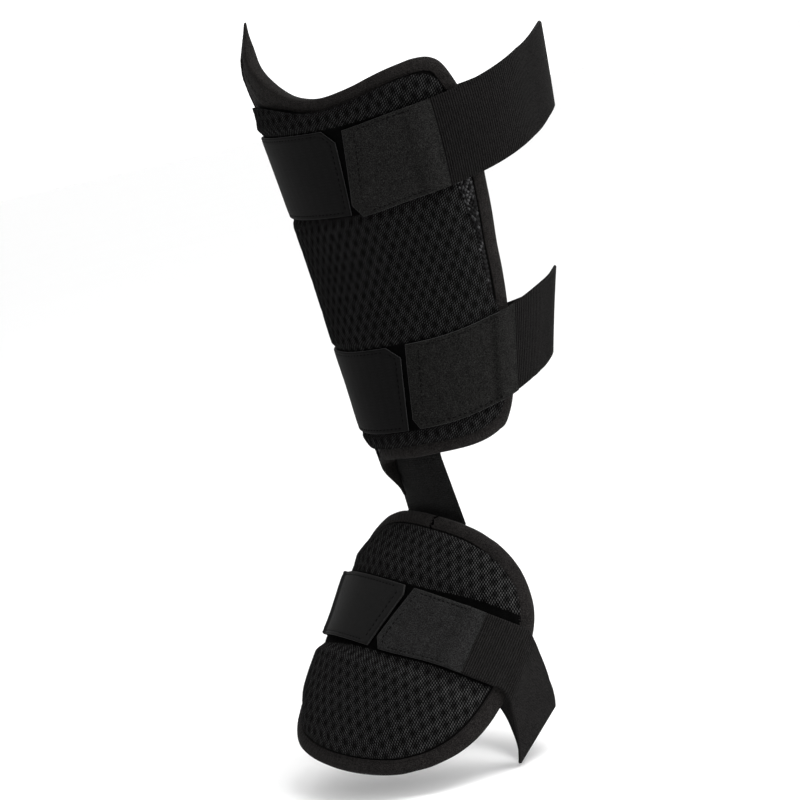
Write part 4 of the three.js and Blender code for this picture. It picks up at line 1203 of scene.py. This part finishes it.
def add_tab(place, row, size, band, cloth, seam_end, butted=False):
    width, low, scale = size
    thick = TAB_THICK
    if butted:
        low = low - BUTT_SINK
        thick = BUTT_THICK
    parts = tab_chunks(row, width, low, thick, scale, band, seam_end, butted)
    # The second cloth is a lighter rim on the cut edges, a painted highlight.
    tab_looks = [cloth, "tab_edge_highlight" if butted else "tab_rim_highlight", "sewing_thread"]
    add_piece(place + "_flap", parts, tab_looks, [place + "_tab"])


def upper_band(angle, v, over):
    return shin_at(angle, loop_height(UPPER_HEIGHTS, angle) + v * UPPER_WIDTH, over)


def sagging_band(angle, v, over):
    """The upper band for its right tab, whose free end hangs a little low."""
    sag = 2.0 * step_down(-6, 26, angle)
    return shin_at(angle, loop_height(UPPER_HEIGHTS, angle) + v * UPPER_WIDTH - sag, over)


def lower_band(angle, v, over):
    return shin_at(angle, loop_height(LOWER_HEIGHTS, angle) + v * LOWER_WIDTH, over)


upper_rings = band_rings(upper_band, np.linspace(*UPPER_ELASTIC, 480), STRAP_LOW)
lower_rings = band_rings(lower_band, np.linspace(*LOWER_ELASTIC, 480), STRAP_LOW)
add_elastic("upper_elastic", "upper_strap", upper_rings, UPPER_WIDTH, "elastic_webbing")
add_elastic("lower_elastic", "lower_strap", lower_rings, LOWER_WIDTH, "elastic_webbing")
add_tab("upper_left", UPPER_LEFT_TAB, UPPER_TAB_SIZE, upper_band, "tab_satin", 3.0, butted=True)
add_tab("upper_right", UPPER_RIGHT_TAB, UPPER_TAB_SIZE, sagging_band, "tab_grain", 7.0)
add_tab("lower_left", LOWER_LEFT_TAB, LOWER_TAB_SIZE, lower_band, "tab_satin", 3.0, butted=True)
add_tab("lower_right", LOWER_RIGHT_TAB, LOWER_TAB_SIZE, lower_band, "tab_grain_low_shaded", 7.0)


def link_on_shin(height, v, over):
    x = LINK_SHIN[0] + (LINK_SHIN[1] - LINK_SHIN[0]) * v
    angle = np.arcsin(x / (shin_width(height) + LINK_SHIN_HIGH)) / RAD
    return shin_at(angle, height, LINK_SHIN_HIGH - over)


def link_on_foot(along, v, over):
    angle = LINK_FOOT[0] + (LINK_FOOT[1] - LINK_FOOT[0]) * v
    return foot_at(angle, along, LINK_FOOT_HIGH - over)


def link_chunk():
    """Link strap: behind the shin guard's lower edge and the foot guard's top edge."""
    across = graded(LINK_WIDTH, (0, 0.3, 0.8, 1.6), 2.6, 30)
    v = across / LINK_WIDTH
    away = np.minimum(across, LINK_WIDTH - across)
    drop = 0.5 * step_down(0, 0.8, away)
    bead = 0.12 * bell(away - 1.1, 0.6)

    def row_points(over):
        rows = [link_on_shin(height, v, over) for height in np.linspace(14, 1.5, 20)]
        first = rows[-1]
        last = link_on_foot(9.0, v, over)
        rows += [first + (last - first) * t for t in np.linspace(0, 1, 22)[1:-1]]
        rows += [link_on_foot(along, v, over) for along in np.linspace(9, 20, 16)]
        return np.stack(rows)

    high = row_points(drop - bead)
    low = row_points(LINK_THICK - drop)
    lengths = path_lengths(0.5 * (high[:, len(v) // 2] + low[:, len(v) // 2]))
    strap_lengths["link_strap"] = float(lengths[-1])
    return band_chunk(low, high, lengths, across)


add_piece("link_webbing", [link_chunk()], ["plain_webbing"], ["link_strap"])

foot_liner = layer_chunk(
    foot_at, foot_flat, inset(foot_outline, foot_at, LINER_INSET), FOOT_COUNTS, 5, (0, 3, 6),
    level(FOOT_LINER_LOW), level(FOOT_LINER_HIGH),
)
add_piece("foot_liner_pad", [foot_liner], ["brushed_liner"], ["foot_liner"])
join_place = foot_at(1.0, 13.0, FOOT_LINER_HIGH + BINDING_SLACK + BINDING_WALL)
foot_fold = binding_chunk(foot_at, foot_outline, 18, FOOT_LINER_LOW, FOOT_LINER_HIGH, join_place)
add_piece("foot_edge_binding", foot_fold, BINDING_LOOKS + ["mesh_hole"], ["foot_binding"])


def side_drop(angle):
    return PAD_SIDE_DROP * smooth_step(22, 56, np.abs(angle))


def past_foot_strap(along):
    return np.abs(along - FOOT_STRAP_ALONG) - FOOT_STRAP_WIDTH / 2


def narrowed(angle):
    """How much narrower the foot strap is at an angle."""
    return STRAP_NARROWS * smooth_step(2, 36, angle)


def pad_parts(row, instep):
    """Outline, counts and height of a domed foot pad."""
    start, stop, crown_height = row
    wide = FOOT_COUNTS[0]
    tall = 7
    inner = inset(foot_outline, foot_at, PAD_INSET)
    top_run = inner[:wide + 1]
    toe_run = inner[2 * wide:3 * wide + 1]
    side_run = inner[wide:2 * wide + 1]
    half = through(side_run[:, 1], side_run[:, 0])
    first = top_run[wide, 1] if instep else start
    last = stop if instep else toe_run[0, 1]
    share = 2 * np.arange(wide + 1) / wide - 1
    bottom = top_run if instep else np.stack([half(start) * share, start + 0 * share], axis=-1)
    top = np.stack([-half(stop) * share, stop + 0 * share], axis=-1) if instep else toe_run
    rows = first + (last - first) * np.arange(tall + 1) / tall
    right = np.stack([half(rows), rows], axis=-1)
    outline = np.concatenate([bottom[:-1], right[:-1], top[:-1], right[:0:-1] * MIRROR])
    lapped = 2.4 * smooth_step(24, 60, outline[:, :1]) if instep else 0.0
    outline = inset(outline, foot_at, -0.9 - lapped)
    far_end = start if instep else stop

    def high(angle, along, away):
        sideways = 1 - np.minimum(np.abs(angle) / (half(along) + 2), 1) ** 4
        lengthways = smooth_step(0, 26, np.abs(along - far_end))
        crown = PAD_EDGE_HIGH + (crown_height - PAD_EDGE_HIGH) * sideways * (0.55 + 0.45 * lengthways)
        press = step_down(2, 11, past_foot_strap(along))
        pressed = crown + (np.minimum(PAD_UNDER_STRAP - side_drop(angle), crown) - crown) * press
        edge = PAD_EDGE_HIGH - 0.6 + 2.8 * np.sqrt(np.clip(away / 4.2, 0, 1)) + 6 * smooth_step(3.6, 14, away)
        return np.minimum(pressed, edge)

    return outline, (wide, tall), high


def add_pad(name, row, instep):
    """A domed pad: a dark base and the open mesh over it, with painted shade in the groove beside the strap.
    """
    outline, counts, high = pad_parts(row, instep)
    base = layer_chunk(
        foot_at, foot_flat, outline, counts, 6, (0, 0.6, 1.6, 4.2), level(PAD_LOW),
        lambda a, b, away: np.maximum(high(a, b, away) - 1.25 * smooth_step(0, 1.5, away), PAD_LOW + 0.2),
    )
    add_piece(name + "_base", [base], ["mesh_base"], [name + "_pad"])
    border = foot_flat(*refine(outline, 10).T)
    mesh = mesh_chunk(foot_at, foot_unflat, border, high, PAD_LOW, *FOOT_MESH)
    across, along = foot_unflat(face_middles(mesh, "flat"))
    beyond = past_foot_strap(along) + (0 if instep else narrowed(across))
    # Painted shade: a band of mesh beside the foot strap, widening towards one side, takes the near-black
    # mesh.
    groove = 1.2 + 3.8 * smooth_step(0, 50, across if instep else -across)
    mesh["material"] = np.where(beyond < groove, 1, 0)
    add_piece(name + "_mesh", [mesh], ["mesh_foot_lit", "mesh_painted_shade"], [])


add_pad("foot_instep", INSTEP_PAD, True)
add_pad("foot_toe", TOE_PAD, False)


def foot_band(angle, v, over):
    along = FOOT_STRAP_ALONG + v * FOOT_STRAP_WIDTH - narrowed(angle) * (v + 0.5)
    return foot_at(angle, along, over - side_drop(angle))


def foot_strap_rings():
    """Rings of three points below and three above, from the right sewn end to the left."""
    rows = np.array(FOOT_LOOP, float)
    rows = np.concatenate([rows, rows[-2::-1] * np.array((1, -1, 1, 1))])
    along, across, out, tilt = (through(np.arange(len(rows)), column) for column in rows.T)
    below = []
    for p in np.arange(3 * (len(rows) - 1) + 1) / 3:
        slope = unit(np.array((across(p + 0.05) - across(p - 0.05), out(p + 0.05) - out(p - 0.05))))
        lean = tilt(p) * RAD
        ring = []
        for offset in (-STRAP_THICK / 2, STRAP_THICK / 2):
            for v in ACROSS:
                w = v * FOOT_STRAP_WIDTH - STRAP_NARROWS * max(1 - p / 2, 0) * (v + 0.5)
                ring.append(foot_point(along(p) + w * math.cos(lean), across(p) - slope[1] * offset,
                                       out(p) + w * math.sin(lean) + slope[0] * offset))
        below.append(ring)
    right = band_rings(foot_band, np.linspace(FOOT_ELASTIC[0], FOOT_STRAP_ANGLE, 6), FOOT_STRAP_LOW)
    left = band_rings(foot_band, np.linspace(-FOOT_STRAP_ANGLE, FOOT_ELASTIC[1], 5), FOOT_STRAP_LOW)
    return np.concatenate([right, below, left])


def smooth_rings(rings, factor):
    """Open rings with more between them on smooth curves."""
    behind = 2 * rings[:1] - rings[1:2]
    ahead = 2 * rings[-1:] - rings[-2:-1]
    whole = np.concatenate([behind, rings, ahead])
    near = [whole[k:k + len(rings) - 1, None] for k in range(4)]
    fine = between(*near, (np.arange(factor) / factor)[:, None, None])
    return np.concatenate([fine.reshape(-1, *rings.shape[1:]), rings[-1:]])


foot_rings = smooth_rings(foot_strap_rings(), 10)
add_elastic("foot_elastic", "foot_strap", foot_rings, FOOT_STRAP_WIDTH, "elastic_foot_lit")
add_tab("foot_left", FOOT_LEFT_TAB, FOOT_TAB_SIZE, foot_band, "tab_left_foot", 4.0)
add_tab("foot_right", FOOT_RIGHT_TAB, FOOT_TAB_SIZE, foot_band, "tab_grain_foot_lit", 4.0)


def add_floor():
    rows = np.linspace(-FLOOR_REACH, FLOOR_REACH, 9)
    x, y = np.meshgrid(rows, rows, indexing="ij")
    points = np.stack([x, y, cad_box[0][2] / MM - 1.0 + 0 * x], axis=-1).reshape(-1, 3)
    up = np.broadcast_to(np.array((0.0, 0.0, 1.0)), points.shape)
    sheet = chunk(points, turned_out(points, grid_faces(9, 9), up), points[:, :2])
    nodes = new_look("pale_floor")
    nodes.put({
        "Base Color": nodes.mixed(nodes.noise(3.0, 2.0), (0.95, 0.95, 0.95), (0.97, 0.97, 0.97)),
        "Roughness": nodes.ramp(nodes.noise(40.0, 2.0), 0, 1, 0.55, 0.65),
    })
    floor = make_object("floor", [sheet], [looks["pale_floor"]])


def add_camera():
    data = bpy.data.cameras.new("camera")
    camera = bpy.data.objects.new("camera", data)
    bpy.context.scene.collection.objects.link(camera)
    columns = np.array([CAMERA_RIGHT, CAMERA_UP, CAMERA_BACK, CAMERA_DISTANCE * MM * CAMERA_BACK])
    camera.matrix_world = Matrix([*columns.T.tolist(), (0, 0, 0, 1)])
    data.sensor_width = 36
    data.lens = CAMERA_SCALE * CAMERA_DISTANCE / IMAGE_SIZE * data.sensor_width
    data.shift_x = 0.5 - CAMERA_ORIGIN[0] / IMAGE_SIZE
    data.shift_y = CAMERA_ORIGIN[1] / IMAGE_SIZE - 0.5
    data.clip_end = 200
    bpy.context.scene.camera = camera


def add_light(name, right, up, back, size, power):
    """A soft square lamp placed along the camera's axes, turned to the object."""
    data = bpy.data.lights.new(name, "AREA")
    data.shape = "SQUARE"
    data.size = size
    data.energy = power
    lamp = bpy.data.objects.new(name, data)
    bpy.context.scene.collection.objects.link(lamp)
    place = right * CAMERA_RIGHT + up * CAMERA_UP + back * CAMERA_BACK
    away = unit(place)
    side = unit(np.cross((0, 0, 1), away))
    columns = np.array([side, np.cross(away, side), away, place])
    lamp.matrix_world = Matrix([*columns.T.tolist(), (0, 0, 0, 1)])


def add_world():
    """A white studio that is darker towards the photograph's left."""
    world = bpy.data.worlds.new("studio")
    nodes = Nodes(world, "Background")
    direction = nodes.add("ShaderNodeTexCoord", "Generated")
    axis = {0: direction, 1: CAMERA_RIGHT}
    facing = nodes.add("ShaderNodeVectorMath", "Value", axis, operation="DOT_PRODUCT")
    nodes.put({"Color": (1, 1, 1, 1), "Strength": nodes.ramp(facing, *WORLD_LEVELS)})
    bpy.context.scene.world = world


add_floor()
add_camera()
add_world()
bpy.context.scene.view_settings.view_transform = "Standard"
for light in LIGHTS:
    add_light(*light)
